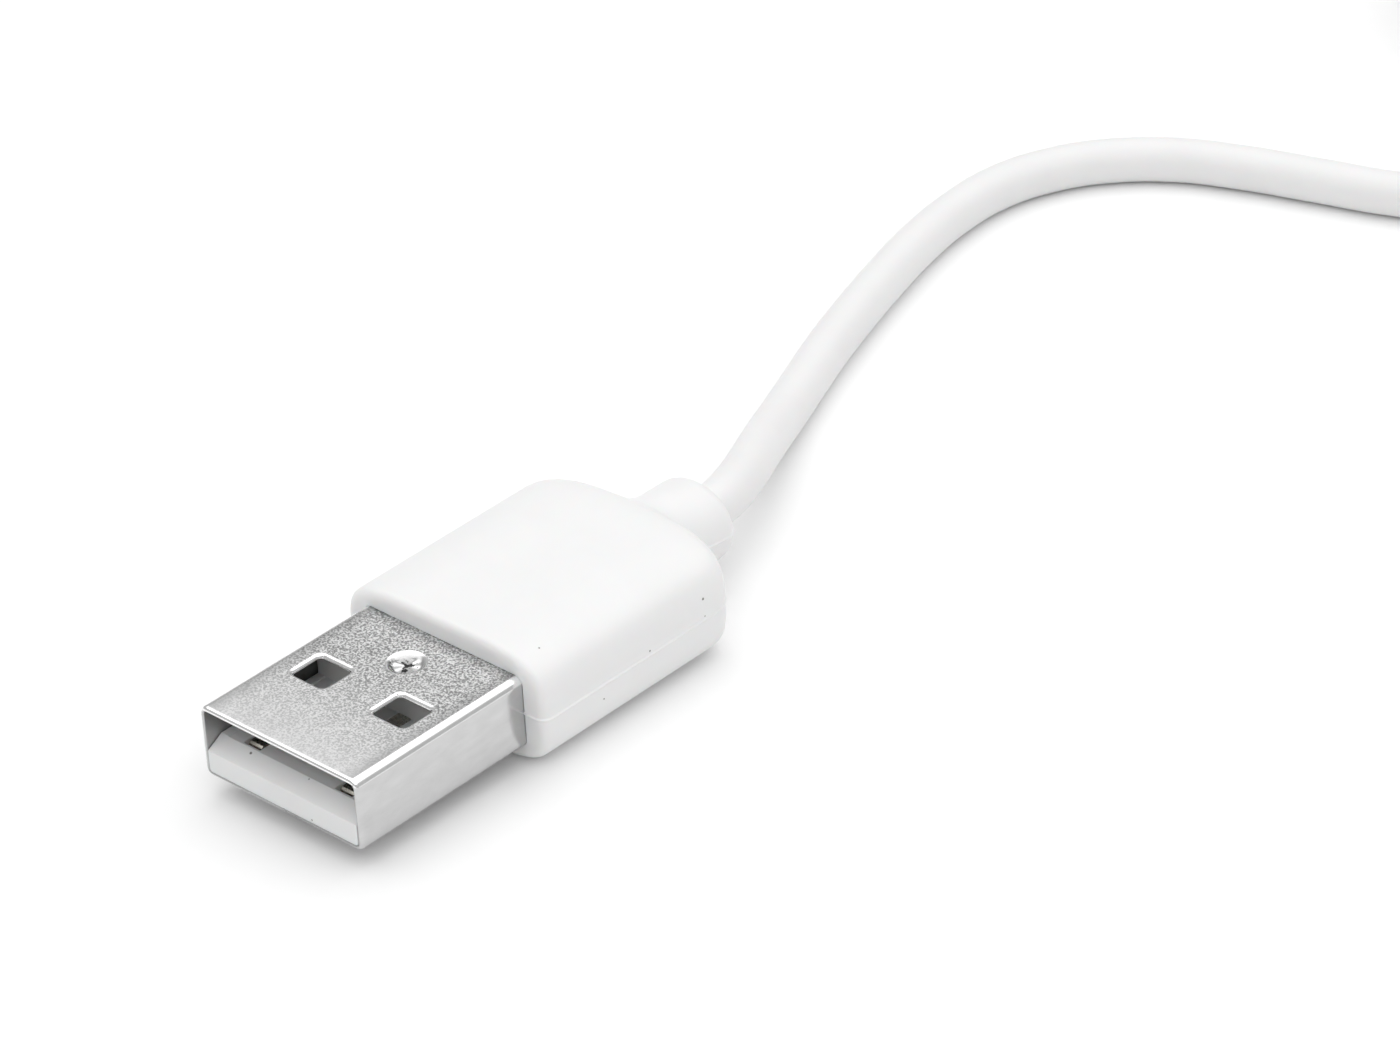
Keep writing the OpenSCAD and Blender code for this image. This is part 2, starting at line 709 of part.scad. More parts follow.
// A strap round all the turns, whose end laps over its start on top.
module hank_tie() color("gainsboro") hank_frame() {
    difference() {
        along_y(tie_setback, tie_w) hank_section(tie_t);
        along_y(tie_setback - overlap, tie_w + 2 * overlap) hank_section();
    }
    translate([-tie_lap / 2, tie_setback, hank_h / 2 + tie_t]) cube([tie_lap, tie_w, tie_t]);
}

module cable_tail() color(soft_white) bar(tail_route, cable_d / 2, cable_sides);

// --- far plug ---

far_inner_w = far_shell_w - 2 * far_shell_t;
far_inner_h = far_shell_h - 2 * far_shell_t;
far_shell_l = far_reach + far_tail;

module far_shell() color(steel) far_frame() {
    difference() {
        along_y(0, far_shell_l) oval(far_shell_w, far_shell_h);
        along_y(-overlap, far_shell_l + 2 * overlap) oval(far_inner_w, far_inner_h);
    }
}

module far_row(side) {
    for (i = [0:far_contacts - 1])
        translate([(i - (far_contacts - 1) / 2) * far_pitch - far_contact_w / 2, far_contact_w,
            side > 0 ? far_slot_h / 2 - far_contact_t : -far_slot_h / 2])
            cube([far_contact_w, far_slot_l - far_contact_w, far_contact_t]);
}

module far_insulator() color("dimgray") far_frame() {
    difference() {
        along_y(0, far_shell_l) oval(far_inner_w, far_inner_h);
        along_y(-overlap, far_slot_l + overlap) square([far_slot_w, far_slot_h], center = true);
    }
}

module far_contacts_upper() color(gold) far_frame() far_row(1);
module far_contacts_lower() color(gold) far_frame() far_row(-1);

module far_board_solid() {
    translate([-far_board_w / 2, far_shell_l, -far_board_t / 2])
        cube([far_board_w, far_board_l, far_board_t]);
}

module far_board() color("seagreen") far_frame() far_board_solid();

module far_overmould() color(soft_white) far_frame() {
    difference() {
        moulded_body(far_form);
        along_y(far_reach - overlap, far_tail + overlap) oval(far_shell_w, far_shell_h);
        far_board_solid();
    }
}

shell();
insulator();
contact_power();
contact_data_minus();
contact_data_plus();
contact_ground();
solder_joints();
rear_cover_lower();
rear_cover_upper();
core_red();
core_white();
core_green();
core_black();
wire_red();
wire_white();
wire_green();
wire_black();
jacket_end();
folded_braid();
overmould();
cable_lead();
cable_hank();
hank_tie();
cable_tail();
far_shell();
far_insulator();
far_contacts_upper();
far_contacts_lower();
far_board();
far_overmould();
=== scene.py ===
"""A charging cable's moulded plug with its folded shell, dressed over the solids of its frame."""

import math

import bpy
from bpy.props import FloatProperty, FloatVectorProperty, IntProperty, PointerProperty
from mathutils import Matrix, Vector


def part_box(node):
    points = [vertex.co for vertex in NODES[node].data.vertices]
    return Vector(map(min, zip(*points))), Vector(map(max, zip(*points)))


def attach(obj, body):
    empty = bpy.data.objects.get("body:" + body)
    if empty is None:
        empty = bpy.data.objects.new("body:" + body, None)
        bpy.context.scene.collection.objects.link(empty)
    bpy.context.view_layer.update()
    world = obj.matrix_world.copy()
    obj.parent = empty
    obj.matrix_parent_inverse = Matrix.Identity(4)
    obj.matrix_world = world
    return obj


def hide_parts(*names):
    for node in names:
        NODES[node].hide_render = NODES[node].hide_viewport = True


bl_info = {
    "name": "Cable plug",
    "version": (1, 0, 0),
    "blender": (4, 5, 0),
    "location": "View3D > Sidebar > Cable plug",
    "description": "Dresses a cable plug's solids with moulded, folded and plated surfaces",
    "category": "Add Mesh",
}

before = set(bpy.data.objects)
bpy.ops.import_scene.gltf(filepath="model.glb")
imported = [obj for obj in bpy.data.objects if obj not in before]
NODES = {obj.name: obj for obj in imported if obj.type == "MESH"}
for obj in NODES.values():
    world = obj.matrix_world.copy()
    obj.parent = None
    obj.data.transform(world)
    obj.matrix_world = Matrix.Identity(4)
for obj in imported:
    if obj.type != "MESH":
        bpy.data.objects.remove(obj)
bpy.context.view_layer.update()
MM = 0.001
SHEET_T = 0.3 * MM

# The cable's free route over the surface, in millimetres, from the collar to the hank.
LEAD_ROUTE = [
    (0, 16.648, 3.515), (0, 17.4, 3.515), (-0.3, 19, 3.45), (-0.95, 20.8, 3.3), (-1.9, 22.7, 3),
    (-3.1, 24.9, 2.6), (-4.35, 27.2, 2.1), (-5.6, 29.6, 1.6), (-7.1, 33, 1.4), (-8.7, 37, 1.4),
    (-10.1, 41, 1.4), (-11.5, 45.5, 1.4), (-12.7, 50, 1.4), (-13.4, 54.5, 1.4), (-13.3, 58.6, 1.4),
    (-12.2, 62, 1.4), (-10.2, 65, 1.4), (-6.8, 67.8, 1.4), (-3, 69.5, 1.4), (2, 71.1, 1.4),
    (7, 72.7, 1.4), (9.8, 74.2, 1.4), (11.9, 77, 1.4), (12.6, 80.4, 1.4), (12.6, 85, 1.5),
    (12.6, 90, 1.7), (12.6, 96.8, 1.8),
]

# Its route over the top of the hank and down into the far plug.
TAIL_ROUTE = [
    (-4.2, 120.5, 9.6), (-4.2, 116.5, 10.2), (-4.2, 111.5, 10.6), (-4.2, 105, 10.6),
    (-4, 102.3, 10.3), (-3.2, 100.1, 10.2), (-1.4, 98.2, 10.2), (1.4, 97.4, 10.2),
    (4.2, 98.2, 10.25), (6.1, 100.2, 10.4), (7, 103.4, 10.8), (7, 107.5, 11.3),
    (7, 110.5, 11.565), (7, 112.392, 11.565),
]


# --- sizes and colours that a user would change ---


def length_setting(name, description, default):
    """A length in metres."""
    return FloatProperty(name=name, description=description, default=default, unit="LENGTH")


def angle_setting(name, description, degrees):
    """An angle, given in degrees."""
    return FloatProperty(
        name=name, description=description, default=math.radians(degrees), subtype="ANGLE"
    )


def number_setting(name, description, default):
    """A plain number."""
    return FloatProperty(name=name, description=description, default=default)


def place_setting(name, description, default):
    """A point, in metres."""
    return FloatVectorProperty(
        name=name, description=description, default=default, subtype="TRANSLATION"
    )


def colour_setting(name, description, default):
    """A base colour."""
    return FloatVectorProperty(
        name=name, description=description, default=default, subtype="COLOR", min=0.0, max=1.0
    )


class PlugSizes(bpy.types.PropertyGroup):
    """Sizes of the details that are added to the solids."""

    sheet_roll: length_setting(
        "Sheet edge roll", "Radius that the punch leaves on the cut edges of the shell", 0.09 * MM
    )
    window_roll: length_setting(
        "Window edge roll", "Radius that the punch leaves on the windows' upper edges", 0.25 * MM
    )
    crater_radius: length_setting(
        "Crater radius", "Radius of the flat floor of the staked dimple", 0.78 * MM
    )
    junction_gap: length_setting(
        "Junction gap", "Radius that the overmould's rim leaves round the shell", 0.07 * MM
    )
    mould_radius: length_setting(
        "Moulded edge", "Radius on the edges of the moulded insulators", 0.05 * MM
    )
    ridge_width: length_setting(
        "Parting ridge width", "Width of the fine ridge that the mould's halves leave", 0.24 * MM
    )
    ridge_height: length_setting("Parting ridge height", "How far that ridge stands out", 0.07 * MM)


class CableSizes(bpy.types.PropertyGroup):
    """Sizes of the cable and of the hank that its spare length is folded into."""

    diameter: length_setting("Cable diameter", "Outside diameter of the jacket", 2.8 * MM)
    length: length_setting("Cable length", "Length between the two plugs", 1.0)
    hank_place: place_setting(
        "Hank place",
        "Middle of the turns at the hank's front end, on the surface of its tie",
        (1.4 * MM, 103 * MM, 0.4 * MM),
    )
    hank_run: length_setting("Hank run", "Length of the hank's straight runs", 22.4 * MM)
    inner_radius: length_setting(
        "Inner radius", "Radius of the innermost turn at the hank's ends", 5.6 * MM
    )
    turns_wide: IntProperty(
        name="Turns side by side", description="Turns in each layer", default=3, min=2, max=6
    )
    layers: IntProperty(
        name="Layers", description="Number of turns on top of each other", default=3, min=1, max=4
    )


class PlugFinishes(bpy.types.PropertyGroup):
    """Base colours of the plug's surfaces."""

    moulded_white: colour_setting("Moulded white", "Colour of the overmoulds", (0.91, 0.91, 0.91))
    jacket_white: colour_setting("Jacket white", "Colour of the cable's jacket", (0.89, 0.89, 0.89))
    tongue_white: colour_setting(
        "Tongue white", "Colour of the insulator with the contacts", (0.88, 0.88, 0.88)
    )
    steel: colour_setting("Steel", "Colour of the folded shell", (0.6, 0.6, 0.6))
    gold: colour_setting("Gold", "Colour of the plated contacts", (0.5, 0.48, 0.43))
    strap_grey: colour_setting("Strap grey", "Colour of the hank's strap", (0.55, 0.55, 0.55))


class StudioSettings(bpy.types.PropertyGroup):
    """Camera and light."""

    view_azimuth: angle_setting(
        "View azimuth", "Turn of the camera to the right of the mouth", 44.275
    )
    view_elevation: angle_setting(
        "View elevation", "Height of the camera above the horizon", 32.271
    )
    view_roll: angle_setting("View roll", "Turn of the picture about its middle", -3.509)
    view_distance: length_setting("View distance", "Distance from the aim to the camera", 0.34439)
    lens: number_setting("Lens", "Focal length in millimetres", 154.31)
    aim: place_setting(
        "Aim", "Point on the surface at the middle of the picture", (-3.14 * MM, 19.638 * MM, 0.0)
    )
    low_sky: number_setting("Low sky", "Light from near the horizon", 0.45)
    high_sky: number_setting("High sky", "Light from overhead", 1.37)
    sky_split: angle_setting(
        "Sky split", "Height above the horizon at which the sky turns bright", 38.5
    )
    sky_softness: number_setting("Sky softness", "Half the height of that change, as a sine", 0.09)
    sky_lean: number_setting("Sky lean", "How much lower the sky is bright at the right", 0.06)
    lamp_power: number_setting("Lamp power", "Power of the softbox, in watts", 0.1)
    lamp_size: length_setting("Lamp size", "Side of the softbox", 0.3)
    lamp_place: place_setting("Lamp place", "Middle of the softbox", (-0.12, 0.1, 0.45))
    floor_size: length_setting("Floor size", "Side of the floor", 3.0)


# --- selection and mesh helpers ---

# Two vertices closer than this are one, and heights nearer than this are level.
MERGE_DISTANCE = 0.0005 * MM
LEVEL = 0.002 * MM


def corners(node_name):
    """The lowest and highest corner of a CAD node's box."""
    return [Vector(corner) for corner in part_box(node_name)]


def select_only(obj):
    """Deselects everything and makes obj the active object."""
    bpy.ops.object.select_all(action="DESELECT")
    obj.select_set(True)
    bpy.context.view_layer.objects.active = obj


def apply_modifiers(obj):
    """Applies every modifier of obj, in order."""
    select_only(obj)
    for modifier in list(obj.modifiers):
        bpy.ops.object.modifier_apply(modifier=modifier.name)


def edit_mesh(piece, operator, everything=False, **settings):
    """Runs a mesh operator on what is selected of a piece, or on all of it."""
    select_only(piece)
    bpy.ops.object.mode_set(mode="EDIT")
    if everything:
        bpy.ops.mesh.select_all(action="SELECT")
    operator(**settings)
    bpy.ops.object.mode_set(mode="OBJECT")


def merged_copy(node_name, piece_name):
    """A copy of a CAD node as a new piece, with its loose triangles merged."""
    piece = bpy.data.objects.new(piece_name, NODES[node_name].data.copy())
    bpy.context.scene.collection.objects.link(piece)
    piece.data.materials.clear()
    edit_mesh(piece, bpy.ops.mesh.remove_doubles, everything=True, threshold=MERGE_DISTANCE)
    return piece


def join_flat_faces(piece, angle):
    """Dissolves the edges between faces that lie within angle of each other."""
    edit_mesh(piece, bpy.ops.mesh.dissolve_limited, everything=True, angle_limit=angle)


def deselect_mesh(mesh):
    """Deselects every part of a mesh."""
    for part in (*mesh.vertices, *mesh.edges, *mesh.polygons):
        part.select = False


def select_edges(piece, wanted):
    """Selects the edges that wanted accepts, by their two ends and their sharpness."""
    bpy.context.tool_settings.mesh_select_mode = (False, True, False)
    mesh = piece.data
    deselect_mesh(mesh)
    normals = {}
    for polygon in mesh.polygons:
        for key in polygon.edge_keys:
            normals.setdefault(key, []).append(polygon.normal.copy())
    found = False
    for edge in mesh.edges:
        ends = [mesh.vertices[index] for index in edge.vertices]
        faces = normals.get(edge.key, [])
        sharpness = faces[0].angle(faces[1], 0.0) if len(faces) == 2 else 0.0
        if wanted([end.co for end in ends], sharpness):
            found = True
            for part in (edge, *ends):
                part.select = True
    if not found:
        raise RuntimeError(f"{piece.name}: no edge is where it should be")


def bevel_selected(piece, width, segments):
    """Rounds the selected edges of a piece."""
    edit_mesh(
        piece, bpy.ops.mesh.bevel, offset=width, segments=segments, profile=0.5, clamp_overlap=False
    )


def round_edges(piece, width, limit):
    """Rounds the edges that are sharper than limit, with two faces."""
    bevel = piece.modifiers.new("Rounded edges", "BEVEL")
    bevel.width = width
    bevel.segments = 2
    bevel.limit_method = "ANGLE"
    bevel.angle_limit = limit
    bevel.use_clamp_overlap = False
    apply_modifiers(piece)


def shade_smooth(piece, angle):
    """Smooth shading, apart from edges sharper than angle, with the large flats kept flat."""
    select_only(piece)
    bpy.ops.object.shade_smooth_by_angle(angle=angle, keep_sharp_edges=True)
    flats = piece.modifiers.new("Flat faces", "WEIGHTED_NORMAL")
    flats.mode = "FACE_AREA"
    flats.weight = 100
    flats.keep_sharp = True
    apply_modifiers(piece)


def rounded_copy(node_name, piece_name, radius, sharp, smooth, flat=1.0):
    """A merged copy of a CAD node, with rounded edges and smooth shading. Angles are in degrees."""
    piece = merged_copy(node_name, piece_name)
    join_flat_faces(piece, math.radians(flat))
    round_edges(piece, radius, math.radians(sharp))
    shade_smooth(piece, math.radians(smooth))
    return piece


def stand_for(piece, slot_name, material, *nodes):
    """Finishes a piece: its material, its body and the CAD nodes that it replaces. Its slot name is
    not used.
    """
    piece.data.materials.clear()
    piece.data.materials.append(material)
    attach(piece, "root")
    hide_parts(*nodes)


def finish_nodes(material, *node_names):
    """Gives CAD nodes, which stay as they are, their material."""
    for name in node_names:
        slots = NODES[name].material_slots
        for slot in slots:
            slot.material = material
        if not slots:
            NODES[name].data.materials.append(material)


# --- shader helpers ---


# Noise lies between these values almost everywhere.
NOISE_LOW, NOISE_HIGH = 0.3, 0.7

# The Mix node has sockets for every type of data. These are its colour's.
MIX_FACTOR, MIX_FIRST, MIX_SECOND, MIX_RESULT = 0, 6, 7, 2


def set_inputs(node, values):
    """Sets a node's input sockets by name."""
    for name, value in values.items():
        node.inputs[name.replace("_", " ")].default_value = value


def add_node(tree, kind, settings=None, **values):
    """Adds a shader node, sets its attributes from settings and its sockets from values."""
    made = tree.nodes.new(kind)
    for name, value in (settings or {}).items():
        setattr(made, name, value)
    set_inputs(made, values)
    return made


def new_group(name, sockets_in, sockets_out):
    """An empty shader group on a vector. Sockets are (name, type, default) and (name, type)."""
    group = bpy.data.node_groups.new(name, "ShaderNodeTree")
    group.interface.new_socket(name="Vector", in_out="INPUT", socket_type="NodeSocketVector")
    for title, kind, default in sockets_in:
        socket = group.interface.new_socket(name=title, in_out="INPUT", socket_type=kind)
        socket.default_value = default
    for title, kind in sockets_out:
        group.interface.new_socket(name=title, in_out="OUTPUT", socket_type=kind)
    entry = group.nodes.new("NodeGroupInput")
    leave = group.nodes.new("NodeGroupOutput")
    return group, entry, leave


def use_group(tree, group, place, **values):
    """Places a shared group in a material, at its coordinates and with its own values."""
    made = tree.nodes.new("ShaderNodeGroup")
    made.node_tree = group
    set_inputs(made, values)
    tree.links.new(place, made.inputs["Vector"])
    return made


def scaled_noise(tree, vector, scale, detail=2.0, roughness=0.5):
    """Noise on a vector socket: its value."""
    noise = add_node(tree, "ShaderNodeTexNoise", Scale=scale, Detail=detail, Roughness=roughness)
    tree.links.new(vector, noise.inputs["Vector"])
    return noise.outputs["Fac"]


def map_range(tree, value, low, high, to_low=0.0, to_high=1.0):
    """Maps a value socket from low..high to to_low..to_high, clamped."""
    made = add_node(
        tree, "ShaderNodeMapRange", From_Min=low, From_Max=high, To_Min=to_low, To_Max=to_high
    )
    tree.links.new(value, made.inputs["Value"])
    return made.outputs["Result"]


def maths(tree, operation, first, second=0.0):
    """A Math node on one or two sockets or numbers."""
    made = add_node(tree, "ShaderNodeMath", {"operation": operation})
    for socket, value in zip(made.inputs, (first, second)):
        if isinstance(value, (int, float)):
            socket.default_value = value
        else:
            tree.links.new(value, socket)
    return made.outputs["Value"]


def product(tree, first, *others):
    """The product of value sockets."""
    for other in others:
        first = maths(tree, "MULTIPLY", first, other)
    return first


def distance_from(tree, value, middle):
    """How far a value socket is from a number."""
    return maths(tree, "ABSOLUTE", maths(tree, "SUBTRACT", value, middle))


def split_axes(tree, place):
    """The X, Y and Z of a vector socket."""
    axes = tree.nodes.new("ShaderNodeSeparateXYZ")
    tree.links.new(place, axes.inputs["Vector"])
    return axes.outputs


def distance_to(tree, vector, place):
    """How far a vector socket is from a place or from another socket."""
    made = add_node(tree, "ShaderNodeVectorMath", {"operation": "DISTANCE"})
    tree.links.new(vector, made.inputs[0])
    if isinstance(place, bpy.types.NodeSocket):
        tree.links.new(place, made.inputs[1])
    else:
        made.inputs[1].default_value = place
    return made.outputs["Value"]


def scaled_colour(tree, colour, factor):
    """A colour socket times a value socket."""
    scale = add_node(tree, "ShaderNodeVectorMath", {"operation": "SCALE"})
    tree.links.new(colour, scale.inputs[0])
    tree.links.new(factor, scale.inputs["Scale"])
    return scale.outputs["Vector"]


def mix_colour(tree, factor, first, second):
    """A colour mix of two sockets or colours."""
    made = add_node(tree, "ShaderNodeMix", {"data_type": "RGBA"})
    for index, value in ((MIX_FACTOR, factor), (MIX_FIRST, first), (MIX_SECOND, second)):
        socket = made.inputs[index]
        if isinstance(value, bpy.types.NodeSocket):
            tree.links.new(value, socket)
        else:
            socket.default_value = (*value[:3], 1.0)
    return made.outputs[MIX_RESULT]


def times(colour, share):
    """A colour times a number, up to white."""
    return [min(1.0, share * value) for value in colour]


def group_noise(group, entry, detail, roughness):
    """Noise on a group's own vector and scale: its value."""
    noise = add_node(group, "ShaderNodeTexNoise", Detail=detail, Roughness=roughness)
    for name in ("Vector", "Scale"):
        group.links.new(entry.outputs[name], noise.inputs[name])
    return noise.outputs["Fac"]


def grain_group():
    """Fine even grain: a value and a normal."""
    group, entry, leave = new_group(
        "Fine grain",
        [("Scale", "NodeSocketFloat", 5000.0), ("Depth", "NodeSocketFloat", 0.3)],
        [("Value", "NodeSocketFloat"), ("Normal", "NodeSocketVector")],
    )
    noise = group_noise(group, entry, 3.0, 0.65)
    bump = add_node(group, "ShaderNodeBump", Distance=0.02 * MM)
    group.links.new(entry.outputs["Depth"], bump.inputs["Strength"])
    group.links.new(noise, bump.inputs["Height"])
    group.links.new(noise, leave.inputs["Value"])
    group.links.new(bump.outputs["Normal"], leave.inputs["Normal"])
    return group


def mottle_group():
    """Slow, faint changes of tone: a colour multiplied by a little noise."""
    group, entry, leave = new_group(
        "Soft mottling",
        [
            ("Colour", "NodeSocketColor", (0.8, 0.8, 0.8, 1)),
            ("Scale", "NodeSocketFloat", 300.0),
            ("Depth", "NodeSocketFloat", 0.03),
        ],
        [("Colour", "NodeSocketColor")],
    )
    noise = group_noise(group, entry, 4.0, 0.55)
    low = maths(group, "SUBTRACT", 1.0, entry.outputs["Depth"])
    high = maths(group, "ADD", 1.0, entry.outputs["Depth"])
    made = add_node(group, "ShaderNodeMapRange", From_Min=NOISE_LOW, From_Max=NOISE_HIGH)
    group.links.new(noise, made.inputs["Value"])
    group.links.new(low, made.inputs["To Min"])
    group.links.new(high, made.inputs["To Max"])
    mottled = scaled_colour(group, entry.outputs["Colour"], made.outputs["Result"])
    group.links.new(mottled, leave.inputs["Colour"])
    return group


def speck_group():
    """One ragged speck of dirt at a place: a mask."""
    group, entry, leave = new_group(
        "Dirt speck",
        [("Place", "NodeSocketVector", (0, 0, 0)), ("Radius", "NodeSocketFloat", 0.1 * MM)],
        [("Mask", "NodeSocketFloat")],
    )
    noise = scaled_noise(group, entry.outputs["Vector"], 9000.0)
    away = distance_to(group, entry.outputs["Vector"], entry.outputs["Place"])
    share = maths(group, "DIVIDE", away, entry.outputs["Radius"])
    ragged = maths(group, "ADD", share, noise)
    mask = map_range(group, ragged, 0.9, 1.5, 1.0, 0.0)
    group.links.new(mask, leave.inputs["Mask"])
    return group


GROUPS = {}


def shared(name, make):
    """The shared group of that name, made on its first use."""
    if name not in GROUPS:
        GROUPS[name] = make()
    return GROUPS[name]


def new_material(name):
    """An empty material with a Principled BSDF and its object coordinates."""
    material = bpy.data.materials.new(name)
    material.use_nodes = True
    tree = material.node_tree
    shader = tree.nodes["Principled BSDF"]
    place = tree.nodes.new("ShaderNodeTexCoord")
    return material, tree, shader, place.outputs["Object"]


def vary_roughness(tree, shader, noise, roughness, spread):
    """Lets a surface's roughness follow a noise."""
    low, high = roughness - spread, roughness + spread
    rough = map_range(tree, noise, NOISE_LOW, NOISE_HIGH, low, high)
    tree.links.new(rough, shader.inputs["Roughness"])


def add_bump(tree, shader, height, strength, distance):
    """Raises a surface by a value socket."""
    bump = add_node(tree, "ShaderNodeBump", Strength=strength, Distance=distance)
    tree.links.new(height, bump.inputs["Height"])
    tree.links.new(bump.outputs["Normal"], shader.inputs["Normal"])


def add_grain(tree, shader, place, scale, depth, roughness, spread):
    """Fine grain on a surface: its bump and its small changes of roughness."""
    surface = use_group(tree, shared("grain", grain_group), place, Scale=scale, Depth=depth)
    tree.links.new(surface.outputs["Normal"], shader.inputs["Normal"])
    vary_roughness(tree, shader, surface.outputs["Value"], roughness, spread)


def moulded_finish(name, colour, roughness, specks=(), grain=3500.0, depth=0.12, ridge=None):
    """Moulded plastic: faint mottling, fine grain, specks of dirt and a painted highlight along the
    parting ridge.
    """
    material, tree, shader, place = new_material(name)
    mottle = use_group(
        tree, shared("mottle", mottle_group), place, Colour=(*colour, 1.0), Scale=260.0, Depth=0.012
    )
    tone = mottle.outputs["Colour"]
    # painted highlight along the parting ridge, fading out towards the rear
    if ridge is not None:
        height, full_to, gone_by = ridge
        axes = split_axes(tree, place)
        away = distance_from(tree, axes["Z"], height)
        ridge_gleam = map_range(tree, away, 0.03 * MM, 0.12 * MM, 1.0, 0.0)
        gleam_fade = map_range(tree, axes["Y"], full_to, gone_by, 1.0, 0.0)
        tone = mix_colour(tree, product(tree, ridge_gleam, gleam_fade), tone, (1.0, 1.0, 1.0))
    for where, radius in specks:
        speck = use_group(tree, shared("speck", speck_group), place, Place=where, Radius=radius)
        tone = mix_colour(tree, speck.outputs["Mask"], tone, (0.16, 0.15, 0.14))
    tree.links.new(tone, shader.inputs["Base Color"])
    add_grain(tree, shader, place, grain, depth, roughness, 0.05)
    set_inputs(
        shader, {"Subsurface Weight": 0.12, "Subsurface Scale": 0.8 * MM, "Specular IOR Level": 0.4}
    )
    return material


def paint_shade_by_depth(material, start_y, end_y, dark):
    """Paints shade on a moulded finish, darker towards the rear of a mouth, where the shell shades
    it.
    """
    tree = material.node_tree
    shader = tree.nodes["Principled BSDF"]
    place = next(node for node in tree.nodes if node.bl_idname == "ShaderNodeTexCoord")
    axes = split_axes(tree, place.outputs["Object"])
    depth = map_range(tree, axes["Y"], start_y, end_y)
    unshaded_tone = shader.inputs["Base Color"].links[0].from_socket
    tree.links.new(mix_colour(tree, depth, unshaded_tone, dark), shader.inputs["Base Color"])


def plain_metal(name, colour, roughness, grain=4000.0, depth=0.15):
    """Metal with a fine even grain."""
    material, tree, shader, place = new_material(name)
    mottle = use_group(
        tree, shared("mottle", mottle_group), place, Colour=(*colour, 1.0), Scale=700.0, Depth=0.08
    )
    tree.links.new(mottle.outputs["Colour"], shader.inputs["Base Color"])
    add_grain(tree, shader, place, grain, depth, roughness, 0.06)
    shader.inputs["Metallic"].default_value = 1.0
    return material


# Tones of the folded shell, as shares of its steel.
# The grain's dark and light tones, and a darker tone for the bends and for painted shade at the
# rear.
DARK_GRAIN, LIGHT_GRAIN, EDGE_DARK_TONE = 0.55, 2.2, 0.35
# Painted sheen and highlights on the top, the bends and the lip, and a painted highlight on the
# crater's floor.
SHEEN_TONE, CRATER_HIGHLIGHT = 1.62, 1.5
# Painted shade on the sheet's inner side, at the mouth and deep inside.
SHADE_AT_MOUTH, SHADE_DEEP = 0.88, 0.32


def peppered_top(tree, axes, grain, colour, low, high, junction_y):
    """Salt and pepper that fades towards the mouth into painted sheen, and darkens along the bends
    and, as painted shade, at the rear.
    """
    spread = map_range(tree, grain, 0.43, 0.57)
    pepper = mix_colour(tree, spread, times(colour, DARK_GRAIN), times(colour, LIGHT_GRAIN))
    fade_l = 0.65 * (junction_y - low.y)
    to_rear = map_range(tree, axes["Y"], low.y, low.y + fade_l, 0.3, 1.0)
    # towards the mouth the grain fades into painted sheen
    grains = mix_colour(tree, to_rear, times(colour, SHEEN_TONE), pepper)
    # darker along the bends, and painted shade towards the overmould at the rear
    across = maths(tree, "ABSOLUTE", axes["X"])
    near_bend = map_range(tree, across, high.x - 1.5 * MM, high.x - 0.5 * MM, 0.0, 0.75)
    near_rear = map_range(tree, axes["Y"], junction_y - 1.2 * MM, junction_y, 0.0, 0.35)
    darkened = product(tree, maths(tree, "ADD", near_bend, near_rear), grain)
    return mix_colour(tree, darkened, grains, times(colour, EDGE_DARK_TONE))


def highlight_share(tree, axes, on_top, away, low, high):
    """A mask of the rolled front lip, the upper bends and the rims of the windows, where a
    highlight is painted.
    """
    at_lip = map_range(tree, axes["Y"], low.y + 0.16 * MM, low.y + SHEET_T, 1.0, 0.0)
    in_sheet = map_range(tree, axes["Z"], high.z - SHEET_T - 0.06 * MM, high.z - SHEET_T)
    off_top = map_range(tree, on_top, 0.0, 1.0, 1.0, 0.0)
    on_bend = map_range(tree, axes["Z"], high.z - 0.42 * MM, high.z - 0.32 * MM)
    off_stake = map_range(tree, away, 0.9 * MM, 1.1 * MM)
    bends = product(tree, on_bend, off_top, off_stake)
    return maths(tree, "MAXIMUM", product(tree, at_lip, in_sheet), bends)


def inside_share(tree, axes, low, high):
    """A mask of the sheet's inner side."""
    middle_z = (low.z + high.z) / 2
    edge_x, edge_z = high.x - SHEET_T, high.z - middle_z - SHEET_T
    across = maths(tree, "ABSOLUTE", axes["X"])
    above = distance_from(tree, axes["Z"], middle_z)
    inside_x = map_range(tree, across, edge_x, edge_x + 0.08 * MM, 1.0, 0.0)
    inside_z = map_range(tree, above, edge_z, edge_z + 0.08 * MM, 1.0, 0.0)
    return product(tree, inside_x, inside_z)


def staked_tone(tree, axes, place, away, tone, colour, stake):
    """The crater's metal with a painted highlight, a ragged dark scar and dark marks on its front
    rim.
    """
    noise = scaled_noise(tree, place, 2600.0, 2.0, 0.6)
    from_scar = distance_from(tree, axes["X"], stake.x + 0.32 * MM)
    scar_share = map_range(tree, from_scar, 0.0, 0.55 * MM, 0.12, -0.02)
    scar = map_range(tree, maths(tree, "ADD", noise, scar_share), 0.6, 0.64)
    # painted highlight on the crater's floor
    bright = mix_colour(tree, scar, times(colour, CRATER_HIGHLIGHT), (0.06, 0.06, 0.06))
    crater = map_range(tree, away, 0.72 * MM, 0.86 * MM, 1.0, 0.0)
    tone = mix_colour(tree, crater, tone, bright)
    rim_start = map_range(tree, away, 0.76 * MM, 0.86 * MM)
    rim_end = map_range(tree, away, 0.95 * MM, 1.08 * MM, 1.0, 0.0)
    front = map_range(tree, axes["Y"], stake.y - 0.35 * MM, stake.y + 0.1 * MM, 1.0, 0.0)
    ragged = map_range(tree, noise, 0.44, 0.54)
    return mix_colour(tree, product(tree, rim_start, rim_end, front, ragged), tone, (0.1, 0.1, 0.1))


